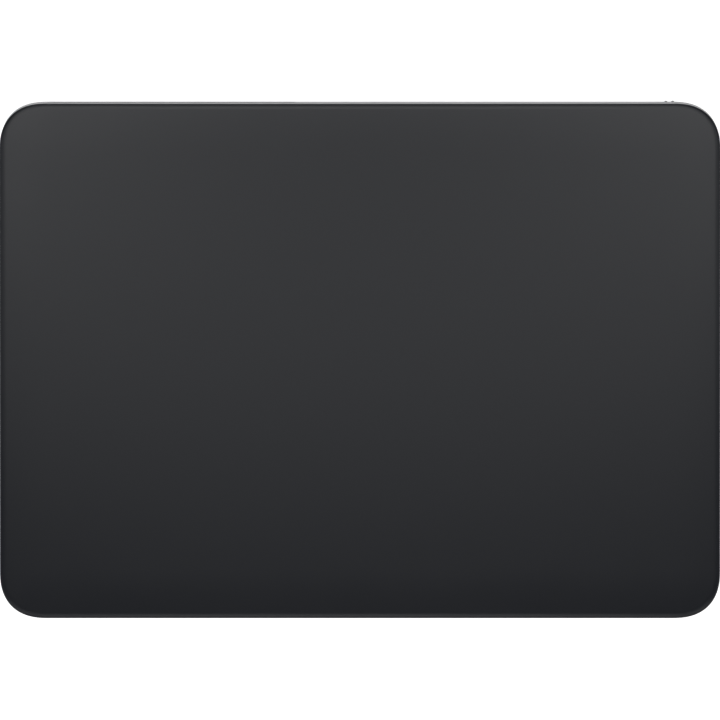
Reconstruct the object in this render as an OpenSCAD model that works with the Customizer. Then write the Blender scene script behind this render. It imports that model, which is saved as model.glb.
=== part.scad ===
// Wireless desk trackpad: a glass plate on a wedge-shaped aluminium body that stands on four sensing feet.
// X runs to the right, Y to the rear and Z up, with the desk at z = 0 below the middle of the part.

/* [Touch plate] */
// Width of the plate
plate_w = 160; // [145:0.5:190]
// Length of the plate along its slope
plate_l = 114.5; // [108:0.5:130]
// Height of the plate's front edge above the desk
front_h = 4.9; // [4.7:0.1:6.5]
// Height of the plate's rear edge above the desk
rear_h = 10.9; // [10.4:0.1:13]
// Reach of a rounded corner along each of its two edges
corner_reach = 10.7; // [7:0.1:14]
// Power of the superellipse that rounds a corner, where 2 is a circle
corner_power = 2.45; // [2:0.05:3.5]
// Thickness of the glass
glass_t = 1; // [0.7:0.05:1.2]
// Distance of the glass edge inside the body's outline
glass_inset = 0.08; // [0:0.02:0.3]
// Width of the softly rounded edge of the glass
glass_edge_run = 1.4; // [0.4:0.1:3]
// Drop of the softly rounded edge of the glass
glass_edge_drop = 0.35; // [0.1:0.05:0.5]
// Chamfer under the glass edge
glass_chamfer = 0.15; // [0.05:0.05:0.2]
// Thickness of the adhesive sheet under the glass
adhesive_t = 0.15; // [0.05:0.05:0.25]
// Distance of the adhesive sheet inside the body's outline
adhesive_inset = 0.9; // [0.4:0.1:2]
// Thickness of the touch sensor board
sensor_t = 0.5; // [0.3:0.05:0.7]
// Distance of the sensor board inside the body's outline
sensor_inset = 2.8; // [2:0.1:5]
// Gap round the sensor board in its recess
sensor_gap = 0.2; // [0.1:0.05:0.5]

/* [Body] */
// Thickness of the body's walls
wall_t = 1.7; // [1.4:0.1:2.2]
// Thickness of the deck that carries the sensor board
deck_t = 0.7; // [0.6:0.05:0.9]
// Rounding of the body's lower edge
edge_r = 0.5; // [0.2:0.05:0.6]
// Chamfer of the rim under the glass
rim_chamfer = 0.12; // [0.05:0.01:0.2]
// Height of the body's underside above the desk
desk_gap = 0.7; // [0.4:0.05:0.9]
// Thickness of the lip round the bottom cover
lip_t = 0.9; // [0.7:0.05:1]
// Thickness of the bottom cover
cover_t = 0.9; // [0.7:0.05:1]
// Gap between the bottom cover and the lip
cover_gap = 0.1; // [0.05:0.05:0.2]
// Thickness of the adhesive frame on the bottom cover
cover_tape_t = 0.1; // [0.05:0.05:0.15]

/* [Rear wall] */
// Depth below the plate of the line that the socket, window and switch share
rear_line = 6.6; // [6.2:0.1:7]
// Width of the charge socket's mouth
port_w = 7.4; // [6:0.1:9]
// Height of the charge socket's mouth
port_h = 2.6; // [2.2:0.1:3]
// Distance of the antenna window's left end inside the left edge
window_edge = 10.4; // [9.2:0.1:14]
// Distance of the antenna window's right end left of the body's middle
window_start = 14.2; // [13:0.1:20]
// Height of the antenna window
window_h = 3.6; // [2.4:0.1:4]
// Distance of the switch slot's middle inside the right edge
switch_edge = 12.3; // [12:0.1:16]
// Length of the switch slot
slot_l = 4.4; // [4:0.1:5]
// Height of the switch slot
slot_h = 2; // [1.6:0.1:2.4]
// Wall left behind the switch slot's pocket
slot_wall = 1.3; // [1.1:0.05:1.4]

/* [Power switch] */
// Width of the switch knob
knob_w = 2.2; // [1.8:0.1:2.6]
// Gap round the switch knob in its slot
knob_gap = 0.1; // [0.08:0.02:0.2]
// Reach of the knob's two ridges out of the rear wall
knob_out = 0.35; // [0.2:0.05:0.6]
// Depth of the nail scoop between the ridges
knob_scoop = 0.5; // [0.2:0.05:0.7]
// Thickness of the knob's flange inside the wall
flange_t = 0.7; // [0.5:0.05:0.9]
// Height of the knob's flange
flange_h = 3.2; // [2.8:0.1:3.6]
// Width of the switch lever
lever_w = 0.9; // [0.7:0.05:1.2]
// Height of the switch lever
lever_h = 1; // [0.8:0.05:1.3]
// Length of the switch housing
switch_l = 8; // [7:0.1:9]
// Height of the switch housing
switch_h = 2.8; // [2.4:0.1:3.2]
// Depth of the switch housing
switch_d = 2.4; // [2:0.1:2.6]

/* [Feet] */
// Distance of the foot centres inside the left and right edges
foot_edge_x = 13.5; // [13.2:0.1:18]
// Distance of the front foot centres behind the front edge
foot_edge_front = 12; // [10:0.1:16]
// Distance of the rear foot centres before the rear edge
foot_edge_rear = 13.5; // [13:0.1:16]
// Radius of a foot
foot_r = 4.5; // [3.5:0.1:5.5]
// Thickness of a foot's rubber
foot_t = 0.9; // [0.7:0.05:1]
// Rounding of a foot's lower edge
foot_round = 0.3; // [0.1:0.05:0.5]
// Gap round a foot in the bottom cover
foot_gap = 0.35; // [0.2:0.05:0.6]
// Length of a sensing beam
beam_l = 22; // [20:0.1:22.4]
// Width of a sensing beam's arms
beam_w = 5; // [4:0.1:7]
// Thickness of a sensing beam
beam_t = 0.5; // [0.4:0.05:0.6]
// Room for the screw heads between a beam and the bottom cover
beam_room = 0.55; // [0.5:0.05:0.6]

/* [Battery] */
// Width of the battery pouch
battery_w = 104; // [80:1:108]
// Length of the battery pouch towards the rear
battery_d = 31; // [24:0.5:32]
// Thickness of the battery pouch
battery_t = 3.5; // [2.5:0.1:3.6]
// Width of the sealed terrace behind the pouch
terrace_d = 3; // [2.8:0.1:4]

/* [Main board] */
// Width of the main board
board_w = 62; // [58:0.5:64]
// Length of the main board towards the rear
board_d = 13; // [12.5:0.1:14]
// Thickness of the main board
board_t = 0.8; // [0.6:0.05:1]
// Distance of the main board's left end left of the body's middle
board_left = 12; // [11.5:0.1:12.6]
// Height of the ribbon connectors
plug_h = 0.9; // [0.7:0.05:1.1]
// Thickness of every ribbon
flex_t = 0.12; // [0.08:0.01:0.2]

/* [Haptic engine] */
// Width of the haptic engine's tray
haptic_w = 44; // [38:0.5:48]
// Length of the haptic engine's tray towards the rear
haptic_d = 22; // [18:0.5:23]
// Height of the haptic engine
haptic_h = 2.2; // [2:0.05:2.5]
// Thickness of the tray's sheet steel
tray_t = 0.3; // [0.2:0.02:0.35]
// Travel of the moving weight to each side
haptic_travel = 0.4; // [0.2:0.05:0.6]
// Thickness of the moving weight
mass_t = 0.9; // [0.7:0.05:1]
// Thickness of the two coils
coil_t = 0.4; // [0.3:0.02:0.5]

/* [Hidden] */

$fn = 48;
// Segments of each rounded corner and of each rounded edge
corner_steps = 12;
edge_steps = 4;
// A cut runs this far past the face that it opens
cut = 1;

// Colours as the photo shows them, and the usual ones inside
glass_black = "#2d2e30";
aluminium = "#c9cacc";
window_grey = "#4c4d4f";
cover_grey = "#b9babc";
rubber_grey = "#6f7072";
steel = "#b4b6b8";
board_green = "#1e4d33";
chip_black = "#1c1d1f";
ribbon_amber = "#b36a1e";
copper = "#b87333";
gold = "#d0a64b";
pouch_silver = "#a7a9ad";
tape_white = "#e6e6e2";
tungsten = "#77787c";

// The wedge: its slope, its plan length and the depths of its layers below the plate's top
half_w = plate_w / 2;
half_l = plate_l / 2;
tilt = asin((rear_h - front_h) / plate_l);
depth = plate_l * cos(tilt) + (rear_h - desk_gap) * tan(tilt);
front_y = -depth / 2;
rim_drop = glass_t + adhesive_t;
deck_drop = rim_drop + sensor_t;
ceiling = deck_drop + deck_t;
inner_y = half_l - wall_t;
// Radius of the circle that meets the corner's straight sides and the middle of its superellipse, in tenths
pocket_r = round(10 * corner_reach * sqrt(2) * (1 - pow(1 / 2, 1 / corner_power)) / (sqrt(2) - 1)) / 10;
ledge_z = desk_gap + cover_t + cover_tape_t;
cover_top = desk_gap + cover_t;

// The line of the rear openings as a depth under the deck, and the socket that hangs from the main board
line_d = rear_line - ceiling;
port_wall = 0.4;
port_lap = 0.1;
port_in_w = port_w - 2 * port_lap;
port_in_h = port_h - 2 * port_lap;
port_out_w = port_in_w + 2 * port_wall;
port_out_h = port_in_h + 2 * port_wall;
port_l = 7.6;
seal_t = 0.4;
port_rear = inner_y - seal_t;
insert_t = 2;
insert_gap = 0.05;
contact_n = 8;
contact_pitch = 0.75;
contact_w = 0.35;
contact_t = 0.15;
tongue_t = 0.4;
tongue_l = 4.2;

// The main board lies on the socket, and bosses under the deck carry it
board_under = line_d - port_out_h / 2;
board_drop = board_under - board_t;
board_gap = 0.5;
board_rear = inner_y - board_gap;
board_front = board_rear - board_d;
board_x0 = -board_left;
board_x1 = board_x0 + board_w;
board_r = 1.2;
boss_r = 1.6;
screw_r = 0.5;
screw_gap = 0.06;
head_r = 1.2;
head_t = 0.45;
screw_bite = 1.4;
screw_inset = 2.2;
board_screw_at = [
    [board_x0 + screw_inset, board_front + screw_inset],
    [board_x1 - screw_inset, board_front + screw_inset],
    [board_x1 - screw_inset, board_rear - screw_inset]
];
// Depth under the deck of the upper faces of the ribbon connectors
plug_top = board_drop - plug_h;
plug_l = 2.6;
plug_in = 1.4;
plug_y = board_front + plug_in + plug_l / 2;
haptic_plug_in = 10;
haptic_plug_x = board_x0 + haptic_plug_in;
battery_plug_in = 26;
battery_plug_x = board_x0 + battery_plug_in;
sensor_plug_in = 44;
sensor_plug_x = board_x0 + sensor_plug_in;
haptic_ribbon_w = 3;
battery_ribbon_w = 5;
sensor_ribbon_w = 9;
force_ribbon_w = 2.4;
switch_ribbon_w = 2;
plug_side = 0.5;
left_plug_in = 7.4;
left_plug_y = board_front + left_plug_in;
right_plug_in = 6.6;
right_plug_y = board_front + right_plug_in;

// Chips on the main board's underside
can_w = 22;
can_d = 9.6;
can_h = 1.3;
can_wall = 0.2;
can_in_x = 32;
can_x = board_x0 + can_in_x;
can_in_y = 6.4;
can_y = board_front + can_in_y;
mcu_w = 7;
mcu_h = 0.8;
mcu_off = 5.4;
mcu_x = can_x - mcu_off;
radio_w = 5;
radio_h = 0.7;
radio_off = 6;
radio_x = can_x + radio_off;
charger_w = 4;
charger_h = 0.7;
charger_gap = 3.4;
charger_x = can_x + can_w / 2 + charger_gap;
charger_in = 4;
charger_y = board_front + charger_in;
converter_w = 4;
converter_h = 0.65;
converter_in = 3;
converter_y = board_rear - converter_in;

// The battery lies before the main board, under the deck
lane_w = 2;
lane_gap = 1.6;
lane_y = board_front - lane_gap;
battery_gap = 3.2;
battery_rear = board_front - battery_gap;
pouch_rear = battery_rear - terrace_d;
pouch_front = pouch_rear - battery_d;
pouch_mid = (pouch_rear + pouch_front) / 2;
pouch_r = 2.5;
pouch_edge = 1;
battery_tape_t = 0.1;
battery_tape_w = 8;
tape_side = 6;
terrace_t = 0.4;
battery_board_t = 0.6;
battery_board_l = 46;
battery_board_edge = 0.2;

// The haptic engine lies before the battery
haptic_gap = 1.2;
haptic_y = pouch_front - haptic_gap - haptic_d / 2;
lid_t = 0.25;
lid_gap = 0.05;
air_gap = 0.15;
mass_d0 = lid_t + coil_t + air_gap;
spring_reach = 4.8;
spring_room = spring_reach + haptic_travel;
tray_in_x = haptic_w / 2 - tray_t;
mass_w = 2 * (tray_in_x - spring_room);
mass_side = 1.2;
mass_d = haptic_d - 2 * mass_side;
mass_r = 1;
magnet_t = 0.55;
magnet_w = 4.4;
magnet_l = 14;
magnet_gap = 0.05;
magnet_pitch = 6.2;
coil_band = 2.2;
coil_eye_r = 1;
coil_w = 11;
coil_l = 16;
coil_pitch = 12.4;
spring_t = 0.25;
spring_h = 0.7;
spring_tab = 3;
spring_chord = 15;
ear = 5;
ear_in = 4;
ear_y = haptic_d / 2 - ear_in;
haptic_lane_gap = 4;
haptic_lane_x = battery_w / 2 + haptic_lane_gap;

// The touch controller hangs from the sensor board in a window of the deck
controller_w = 8;
controller_h = 0.9;
controller_x = 24;
controller_off = 12;
controller_y = haptic_y - haptic_d / 2 - controller_off;
controller_gap = 2;
sensor_slot_gap = 0.5;
sensor_drop_gap = 1.4;
sensor_drop_y = board_front - sensor_drop_gap;

// The switch: its knob rests at the right end of the slot
switch_x = half_w - switch_edge;
knob_h = slot_h - 2 * knob_gap;
knob_travel = slot_l - knob_w - 2 * knob_gap;
knob_x = switch_x + knob_travel / 2;
pocket_y = half_l - slot_wall;
scoop_share = 0.62;
flange_gap = 0.05;
flange_y = pocket_y - flange_gap - flange_t;
flange_lap = 0.3;
flange_l = slot_l + knob_travel + 2 * flange_lap;
pocket_gap = 0.4;
fork_t = 0.6;
fork_l = 1.1;
fork_gap = 0.05;
fork_y = flange_y - fork_l;
switch_gap = 0.2;
switch_rear = fork_y - switch_gap;
switch_front = switch_rear - switch_d;
lever_in = 1.2;
lever_slot_in = 1.5;
lever_clear = 0.15;
switch_board_t = 0.6;
switch_board_h = 4.4;
switch_boss_r = 1.25;
switch_boss_gap = 0.45;
switch_boss_x = flange_l / 2 + knob_travel / 2 + switch_boss_gap + switch_boss_r;
switch_board_edge = 1.4;
switch_board_tail = 3;
switch_board_l = 2 * (switch_boss_x + switch_board_edge) + switch_board_tail;
switch_screw_bite = 2.4;

// The antenna stands behind its window, which reaches from near the main board to the left end
window_l = half_w - window_edge - window_start;
window_x = window_start + window_l / 2;
window_gap = 0.05;
window_lap = 0.7;
window_flange_t = 0.5;
carrier_end = 4;
carrier_l = window_l - 2 * carrier_end;
carrier_h = 3;
carrier_t = 2.4;
carrier_rib = 0.6;
carrier_pocket = 1.2;
carrier_cells = 6;
carrier_rear = inner_y - window_flange_t;
carrier_front = carrier_rear - carrier_t;
carrier_x1 = -window_x + carrier_l / 2;
foil_t = 0.1;
foil_w = 0.8;
cable_r = 0.4;
cable_plug_r = 1.1;
cable_plug_h = 1.2;
cable_plug_in = 3.2;
cable_plug_x = board_x0 + cable_plug_in;
cable_in = 1.3;
cable_y = carrier_rear - cable_in;

// The sensing feet: the beams lie flat over the bottom cover, on bosses under the deck
foot_x = half_w - foot_edge_x;
foot_y = [-depth / 2 + foot_edge_front, depth / 2 - foot_edge_rear];
beam_z = cover_top + beam_room;
beam_top = beam_z + beam_t;
beam_pad_r = 3.4;
beam_end_r = 2.4;
beam_hole_gap = 0.2;
beam_screw_x = beam_l / 2 - beam_end_r;
beam_boss_r = 2;
beam_bite = 0.9;
beam_head_t = 0.42;
gauge_l = 2.4;
gauge_w = 1.6;
gauge_t = 0.08;
gauge_x = (beam_pad_r + beam_screw_x - beam_boss_r) / 2;
post_edge = 0.3;
post_disc_r = foot_r - post_edge;
post_disc_t = 0.5;
post_neck_r = 2;
force_lane_gap = 2;
force_lane_x = foot_x + force_lane_gap;

// A point on the plate's first corner, moved inwards along the outline's normal
function corner_point(turn, inset) =
    let (
        c = pow(cos(turn), 2 / corner_power),
        s = pow(sin(turn), 2 / corner_power),
        normal = [pow(c, corner_power - 1), pow(s, corner_power - 1)]
    )
    [half_w - corner_reach + corner_reach * c, half_l - corner_reach + corner_reach * s]
        - inset * normal / norm(normal);

// The plate's outline, moved inwards by an inset, anticlockwise from the right side
function outline(inset) =
    let (q = [for (i = [0:corner_steps]) corner_point(90 * i / corner_steps, inset)])
    concat(
        q,
        [for (i = [corner_steps:-1:0]) [-q[i].x, q[i].y]],
        [for (p = q) -p],
        [for (i = [corner_steps:-1:0]) [q[i].x, -q[i].y]]
    );

// A point of the plate's frame in the part's frame, and the plate's z where that point has a given height
function to_part(p) = [
    p.x,
    front_y + (p.y + half_l) * cos(tilt) - p.z * sin(tilt),
    front_h + (p.y + half_l) * sin(tilt) + p.z * cos(tilt)
];
function plate_z(y, z) = (z - front_h - (y + half_l) * sin(tilt)) / cos(tilt);

// Height of the deck's underside in the part's frame, over a place in plan
function deck_z(y) = front_h + (y - front_y) * tan(tilt) - ceiling / cos(tilt);

// The plate's frame: its top face is z = 0, its middle is the origin and +Y climbs the slope
module in_plate() {
    translate([0, front_y, front_h])
        rotate([tilt, 0, 0])
            translate([0, half_l, 0])
                children();
}

// The frame under the deck: its underside is z = 0 and +Z points down into the body
module under_deck() {
    in_plate()
        translate([0, 0, -ceiling])
            mirror([0, 0, 1])
                children();
}

// The rear wall's frame under the deck, at a place along the shared line: +Z points out through the wall
module at_rear(x, y) {
    under_deck()
        translate([x, y, line_d])
            rotate([-90, 0, 0])
                children();
}

// A solid through rings of points, from the lowest ring up
module loft(rings) {
    n = len(rings[0]);
    m = len(rings);
    sides = [
        for (k = [0:m - 2], i = [0:n - 1])
            let (j = (i + 1) % n, a = k * n, b = a + n)
            each [[a + i, b + i, b + j], [a + i, b + j, a + j]]
    ];
    floor_face = [for (i = [0:n - 1]) i];
    roof_face = [for (i = [n - 1:-1:0]) (m - 1) * n + i];
    polyhedron([for (ring = rings) each ring], concat([floor_face], sides, [roof_face]));
}

// The plate's shape with circular corners, moved inwards and between two heights of the plate's frame
module prism(inset, low, high) {
    in_plate()
        translate([0, 0, low])
            linear_extrude(high - low)
                rounded(plate_w - 2 * inset, plate_l - 2 * inset, pocket_r - inset);
}

// A level slab between two heights above the desk
module slab(low, high) {
    translate([-plate_w, -plate_l, low])
        cube([2 * plate_w, 2 * plate_l, high - low]);
}

// A box that stands on its middle
module block(size) {
    translate([-size.x / 2, -size.y / 2, 0])
        cube(size);
}

module rounded(w, d, r) {
    square([w - 2 * r, d], center = true);
    square([w, d - 2 * r], center = true);
    for (x = [-1, 1], y = [-1, 1])
        translate([x * (w / 2 - r), y * (d / 2 - r)])
            circle(r);
}

module stadium(l, h) {
    square([l - h, h], center = true);
    for (s = [-1, 1])
        translate([s * (l - h) / 2, 0])
            circle(h / 2);
}

// A ribbon along straight stretches between points on the deck's underside
module ribbon(points, w) {
    for (i = [1:len(points) - 1])
        let (a = points[i - 1], b = points[i])
        translate([min(a.x, b.x) - w / 2, min(a.y, b.y) - w / 2, 0])
            cube([abs(a.x - b.x) + w, abs(a.y - b.y) + w, flex_t]);
}

// A ribbon's end: from depth high it drops to the connectors' tops and runs on along +Y by reach
module ribbon_tail(w, high, reach) {
    translate([-w / 2, 0, high])
        cube([w, flex_t, plug_top - high]);
    translate([-w / 2, 0, plug_top - flex_t])
        cube([w, reach, flex_t]);
}

// A screw with a round head at z = 0 and its shank along -Z
module screw(shank, head) {
    cylinder(r = head_r, h = head);
    translate([0, 0, -shank])
        cylinder(r = screw_r, h = shank);
}

// The glass: the plate's outline with a chamfer below and a soft quarter ellipse above
function glass_edge(turn) = [
    glass_inset + glass_edge_run * (1 - cos(turn)),
    -glass_edge_drop * (1 - sin(turn))
];
function glass_rings() = [
    for (s = concat(
        [[glass_inset + glass_chamfer, -glass_t], [glass_inset, glass_chamfer - glass_t]],
        [for (i = [0:edge_steps]) glass_edge(90 * i / edge_steps)]
    ))
        [for (p = outline(s[0])) [p.x, p.y, s[1]]]
];

module touch_glass() {
    color(glass_black)
        in_plate()
            loft(glass_rings());
}

module glass_adhesive() {
    color(tape_white)
        prism(adhesive_inset, -rim_drop, -glass_t);
}

module sensor_board() {
    color(board_green)
        prism(sensor_inset, -deck_drop, -rim_drop);
}

module touch_controller() {
    color(chip_black)
        under_deck()
            translate([controller_x, controller_y, -deck_t])
                block([controller_w, controller_w, controller_h]);
}

module sensor_ribbon() {
    color(ribbon_amber)
        under_deck()
            translate([sensor_plug_x, sensor_drop_y, 0])
                ribbon_tail(sensor_ribbon_w, -deck_t, plug_y + plug_l / 2 - sensor_drop_y);
}

// The body's outside: walls square to the plate, cut level below with a rounded edge
function lower_edge(turn) = [edge_r * (1 - sin(turn)), desk_gap + edge_r * (1 - cos(turn))];
function body_rings() = concat(
    [
        for (i = [0:edge_steps])
            let (s = lower_edge(90 * i / edge_steps))
            [for (p = outline(s[0])) to_part([p.x, p.y, plate_z(p.y, s[1])])]
    ],
    [
        for (s = [[0, -rim_drop - rim_chamfer], [rim_chamfer, -rim_drop]])
            [for (p = outline(s[0])) to_part([p.x, p.y, s[1]])]
    ]
);

// What hangs inside the body: bosses for the beams, the main board and the switch board
module bosses() {
    for (x = [-foot_x, foot_x], y = foot_y, s = [-1, 1])
        translate([x + s * beam_screw_x, y, beam_top])
            cylinder(r = beam_boss_r, h = deck_z(y) - beam_top + deck_t / 2);
    under_deck()
        for (p = board_screw_at)
            translate([p.x, p.y, -deck_t / 2])
                cylinder(r = boss_r, h = board_drop + deck_t / 2);
    for (s = [-1, 1])
        at_rear(switch_x + s * switch_boss_x, switch_front)
            cylinder(r = switch_boss_r, h = inner_y + wall_t / 8 - switch_front);
}

module boss_holes() {
    for (x = [-foot_x, foot_x], y = foot_y, s = [-1, 1])
        translate([x + s * beam_screw_x, y, beam_top - cut])
            cylinder(r = screw_r + screw_gap, h = beam_bite + screw_gap + cut);
    under_deck()
        for (p = board_screw_at)
            translate([p.x, p.y, board_drop - screw_bite - screw_gap])
                cylinder(r = screw_r + screw_gap, h = screw_bite + screw_gap + cut);
    for (s = [-1, 1])
        at_rear(switch_x + s * switch_boss_x, switch_front - cut)
            cylinder(r = screw_r + screw_gap, h = switch_screw_bite + screw_gap + cut);
    under_deck()
        for (x = [-1, 1], y = [-1, 1])
            translate([x * (haptic_w + ear) / 2, haptic_y + y * ear_y, -deck_t + flex_t])
                cylinder(r = screw_r + screw_gap, h = deck_t);
}

module rear_openings() {
    at_rear(0, inner_y - cut)
        linear_extrude(wall_t + 2 * cut)
            stadium(port_w, port_h);
    at_rear(-window_x, inner_y - cut)
        linear_extrude(wall_t + 2 * cut)
            stadium(window_l, window_h);
    at_rear(switch_x, inner_y - cut)
        linear_extrude(wall_t + 2 * cut)
            stadium(slot_l, slot_h);
    at_rear(switch_x, inner_y - cut)
        linear_extrude(pocket_y - inner_y + cut)
            square([flange_l + knob_travel + 2 * pocket_gap, flange_h + 2 * pocket_gap], center = true);
}

module deck_openings() {
    under_deck() {
        translate([controller_x, controller_y, -deck_t - cut / 2])
            block([controller_w + 2 * controller_gap, controller_w + 2 * controller_gap, deck_t + cut]);
        translate([sensor_plug_x, sensor_drop_y + flex_t / 2, -deck_t - cut / 2])
            block([sensor_ribbon_w + 2 * sensor_slot_gap, flex_t + 2 * sensor_slot_gap, deck_t + cut]);
    }
}

module enclosure() {
    color(aluminium)
        difference() {
            union() {
                difference() {
                    loft(body_rings());
                    prism(wall_t, -ceiling - rear_h, -ceiling);
                    prism(sensor_inset - sensor_gap, -deck_drop, cut - rim_drop);
                    intersection() {
                        prism(lip_t, -ceiling - rear_h, -ceiling);
                        slab(-cut, ledge_z);
                    }
                }
                bosses();
            }
            boss_holes();
            rear_openings();
            deck_openings();
        }
}

module bottom_cover() {
    color(cover_grey)
        difference() {
            intersection() {
                prism(lip_t + cover_gap, -ceiling - rear_h, -ceiling);
                slab(desk_gap, cover_top);
            }
            for (x = [-foot_x, foot_x], y = foot_y)
                translate([x, y, desk_gap - cut])
                    cylinder(r = foot_r + foot_gap, h = cover_t + 2 * cut);
        }
}

module cover_tape() {
    color(tape_white)
        intersection() {
            difference() {
                prism(lip_t + 2 * cover_gap, -ceiling - rear_h, -ceiling);
                prism(wall_t, -ceiling - rear_h - cut, cut - ceiling);
            }
            slab(cover_top, ledge_z);
        }
}

// The window: a plug that fills its opening flush with the wall, and a flange behind it
module antenna_window() {
    color(window_grey)
        at_rear(-window_x, inner_y - window_flange_t) {
            linear_extrude(window_flange_t)
                square([window_l - window_h, window_h + 2 * window_lap], center = true);
            linear_extrude(window_flange_t + wall_t)
                stadium(window_l - 2 * window_gap, window_h - 2 * window_gap);
        }
}

module antenna_carrier() {
    cell = (carrier_l - carrier_rib) / carrier_cells;
    color(chip_black)
        at_rear(-window_x, carrier_front)
            difference() {
                linear_extrude(carrier_t)
                    rounded(carrier_l, carrier_h, carrier_rib);
                for (i = [0:carrier_cells - 1])
                    translate([(i + 0.5) * cell - carrier_cells * cell / 2, 0, carrier_t - carrier_pocket])
                        block([cell - carrier_rib, carrier_h - 2 * carrier_rib, carrier_pocket + cut]);
            }
}

// The foil: a radiating strip along the carrier's front, folded back once, with a feed at its right end
module antenna_foil() {
    long = carrier_l - 4 * foil_w;
    color(copper)
        at_rear(-window_x, carrier_front - foil_t)
            linear_extrude(foil_t) {
                for (s = [-1, 1])
                    translate([0, s * foil_w])
                        square([long, foil_w], center = true);
                translate([(foil_w - long) / 2, 0])
                    square([foil_w, 3 * foil_w], center = true);
                translate([long / 2 - 4 * foil_w, 0])
                    square([foil_w, 3 * foil_w], center = true);
            }
}

module antenna_cable() {
    axis_d = board_under + cable_plug_h / 2;
    color(chip_black)
        under_deck() {
            translate([carrier_x1, cable_y, axis_d])
                rotate([0, 90, 0])
                    cylinder(r = cable_r, h = cable_plug_x - carrier_x1);
            translate([cable_plug_x, cable_y, board_under])
                cylinder(r = cable_plug_r, h = cable_plug_h);
        }
}

module port_shell() {
    color(steel)
        at_rear(0, port_rear - port_l)
            linear_extrude(port_l)
                difference() {
                    stadium(port_out_w, port_out_h);
                    stadium(port_in_w, port_in_h);
                }
}

// The insert: a plug in the shell's inner end with a tongue along the socket's lower wall
module port_insert() {
    color(chip_black)
        at_rear(0, port_rear - port_l) {
            linear_extrude(insert_t)
                stadium(port_in_w - 2 * insert_gap, port_in_h - 2 * insert_gap);
            translate([0, port_in_h / 2 - insert_gap - tongue_t / 2, 0])
                linear_extrude(insert_t + tongue_l)
                    square([port_in_w - port_in_h, tongue_t], center = true);
        }
}

module port_contacts() {
    top = port_in_h / 2 - insert_gap - tongue_t;
    color(gold)
        at_rear(0, port_rear - port_l + insert_t)
            for (i = [0:contact_n - 1])
                translate([(i - (contact_n - 1) / 2) * contact_pitch * contact_span(), top - contact_t / 2, 0])
                    linear_extrude(tongue_l)
                        square([contact_w, contact_t], center = true);
}
// The contacts close up where the tongue is too narrow for their full pitch
function contact_span() =
    min(1, (port_in_w - port_in_h - contact_w) / ((contact_n - 1) * contact_pitch));

module port_seal() {
    color(rubber_grey)
        at_rear(0, port_rear)
            linear_extrude(seal_t)
                difference() {
                    stadium(port_out_w, port_out_h);
                    stadium(port_w, port_h);
                }
}

module main_board() {
    color(board_green)
        under_deck()
            translate([0, 0, board_drop])
                difference() {
                    translate([(board_x0 + board_x1) / 2, (board_front + board_rear) / 2, 0])
                        linear_extrude(board_t)
                            rounded(board_w, board_d, board_r);
                    for (p = board_screw_at)
                        translate([p.x, p.y, -cut])
                            cylinder(r = screw_r + 2 * screw_gap, h = board_t + 2 * cut);
                }
}

// A chip on the main board's underside
module board_chip(x, y, w, h) {
    color(chip_black)
        under_deck()
            translate([x, y, board_under])
                block([w, w, h]);
}

module shield_can() {
    color(steel)
        under_deck()
            translate([can_x, can_y, board_under])
                difference() {
                    block([can_w, can_d, can_h]);
                    translate([0, 0, -cut])
                        block([can_w - 2 * can_wall, can_d - 2 * can_wall, can_h + cut - can_wall]);
                }
}

module ribbon_connectors() {
    front_row = [
        [haptic_plug_x, haptic_ribbon_w],
        [battery_plug_x, battery_ribbon_w],
        [sensor_plug_x, sensor_ribbon_w]
    ];
    color(tape_white)
        under_deck() {
            for (plug = front_row)
                translate([plug[0], plug_y, plug_top])
                    block([plug[1] + 2 * plug_side, plug_l, plug_h]);
            for (p = [[board_x0 + plug_in + plug_l / 2, left_plug_y],
                      [board_x1 - plug_in - plug_l / 2, right_plug_y]])
                translate([p.x, p.y, plug_top])
                    block([plug_l, force_ribbon_w + 2 * plug_side, plug_h]);
            translate([board_x1 - plug_in - plug_l / 2, right_plug_y, board_under])
                block([plug_l, switch_ribbon_w + 2 * plug_side, plug_h]);
        }
}

module board_screws() {
    color(steel)
        under_deck()
            for (p = board_screw_at)
                translate([p.x, p.y, board_under])
                    screw(board_t + screw_bite, head_t);
}

// The pouch: a flat cell with soft edges, and the sealed terrace of its foil behind it
module battery_pouch() {
    terrace_top = plug_top + battery_board_t;
    color(pouch_silver)
        under_deck() {
            translate([0, pouch_mid, battery_tape_t])
                intersection() {
                    linear_extrude(battery_t)
                        rounded(battery_w, battery_d, pouch_r);
                    translate([-battery_w / 2, 0, battery_t / 2])
                        rotate([90, 0, 90])
                            linear_extrude(battery_w)
                                rounded(battery_d, battery_t, pouch_edge);
                }
            translate([0, pouch_rear, terrace_top])
                translate([-battery_w / 2 + pouch_r, -pouch_edge, 0])
                    cube([battery_w - 2 * pouch_r, terrace_d + pouch_edge, terrace_t]);
        }
}

module battery_board() {
    color(board_green)
        under_deck()
            translate([0, pouch_rear + terrace_d / 2, plug_top])
                block([battery_board_l, terrace_d - 2 * battery_board_edge, battery_board_t]);
}

module battery_ribbon() {
    start = pouch_rear + terrace_d / 2;
    color(ribbon_amber)
        under_deck()
            translate([battery_plug_x - battery_ribbon_w / 2, start, plug_top - flex_t])
                cube([battery_ribbon_w, plug_y + plug_l / 2 - start, flex_t]);
}

module battery_tapes() {
    color(tape_white)
        under_deck()
            for (s = [-1, 1])
                translate([0, pouch_mid + s * battery_d / 4, 0])
                    block([battery_w - 2 * tape_side, battery_tape_w, battery_tape_t]);
}

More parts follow.
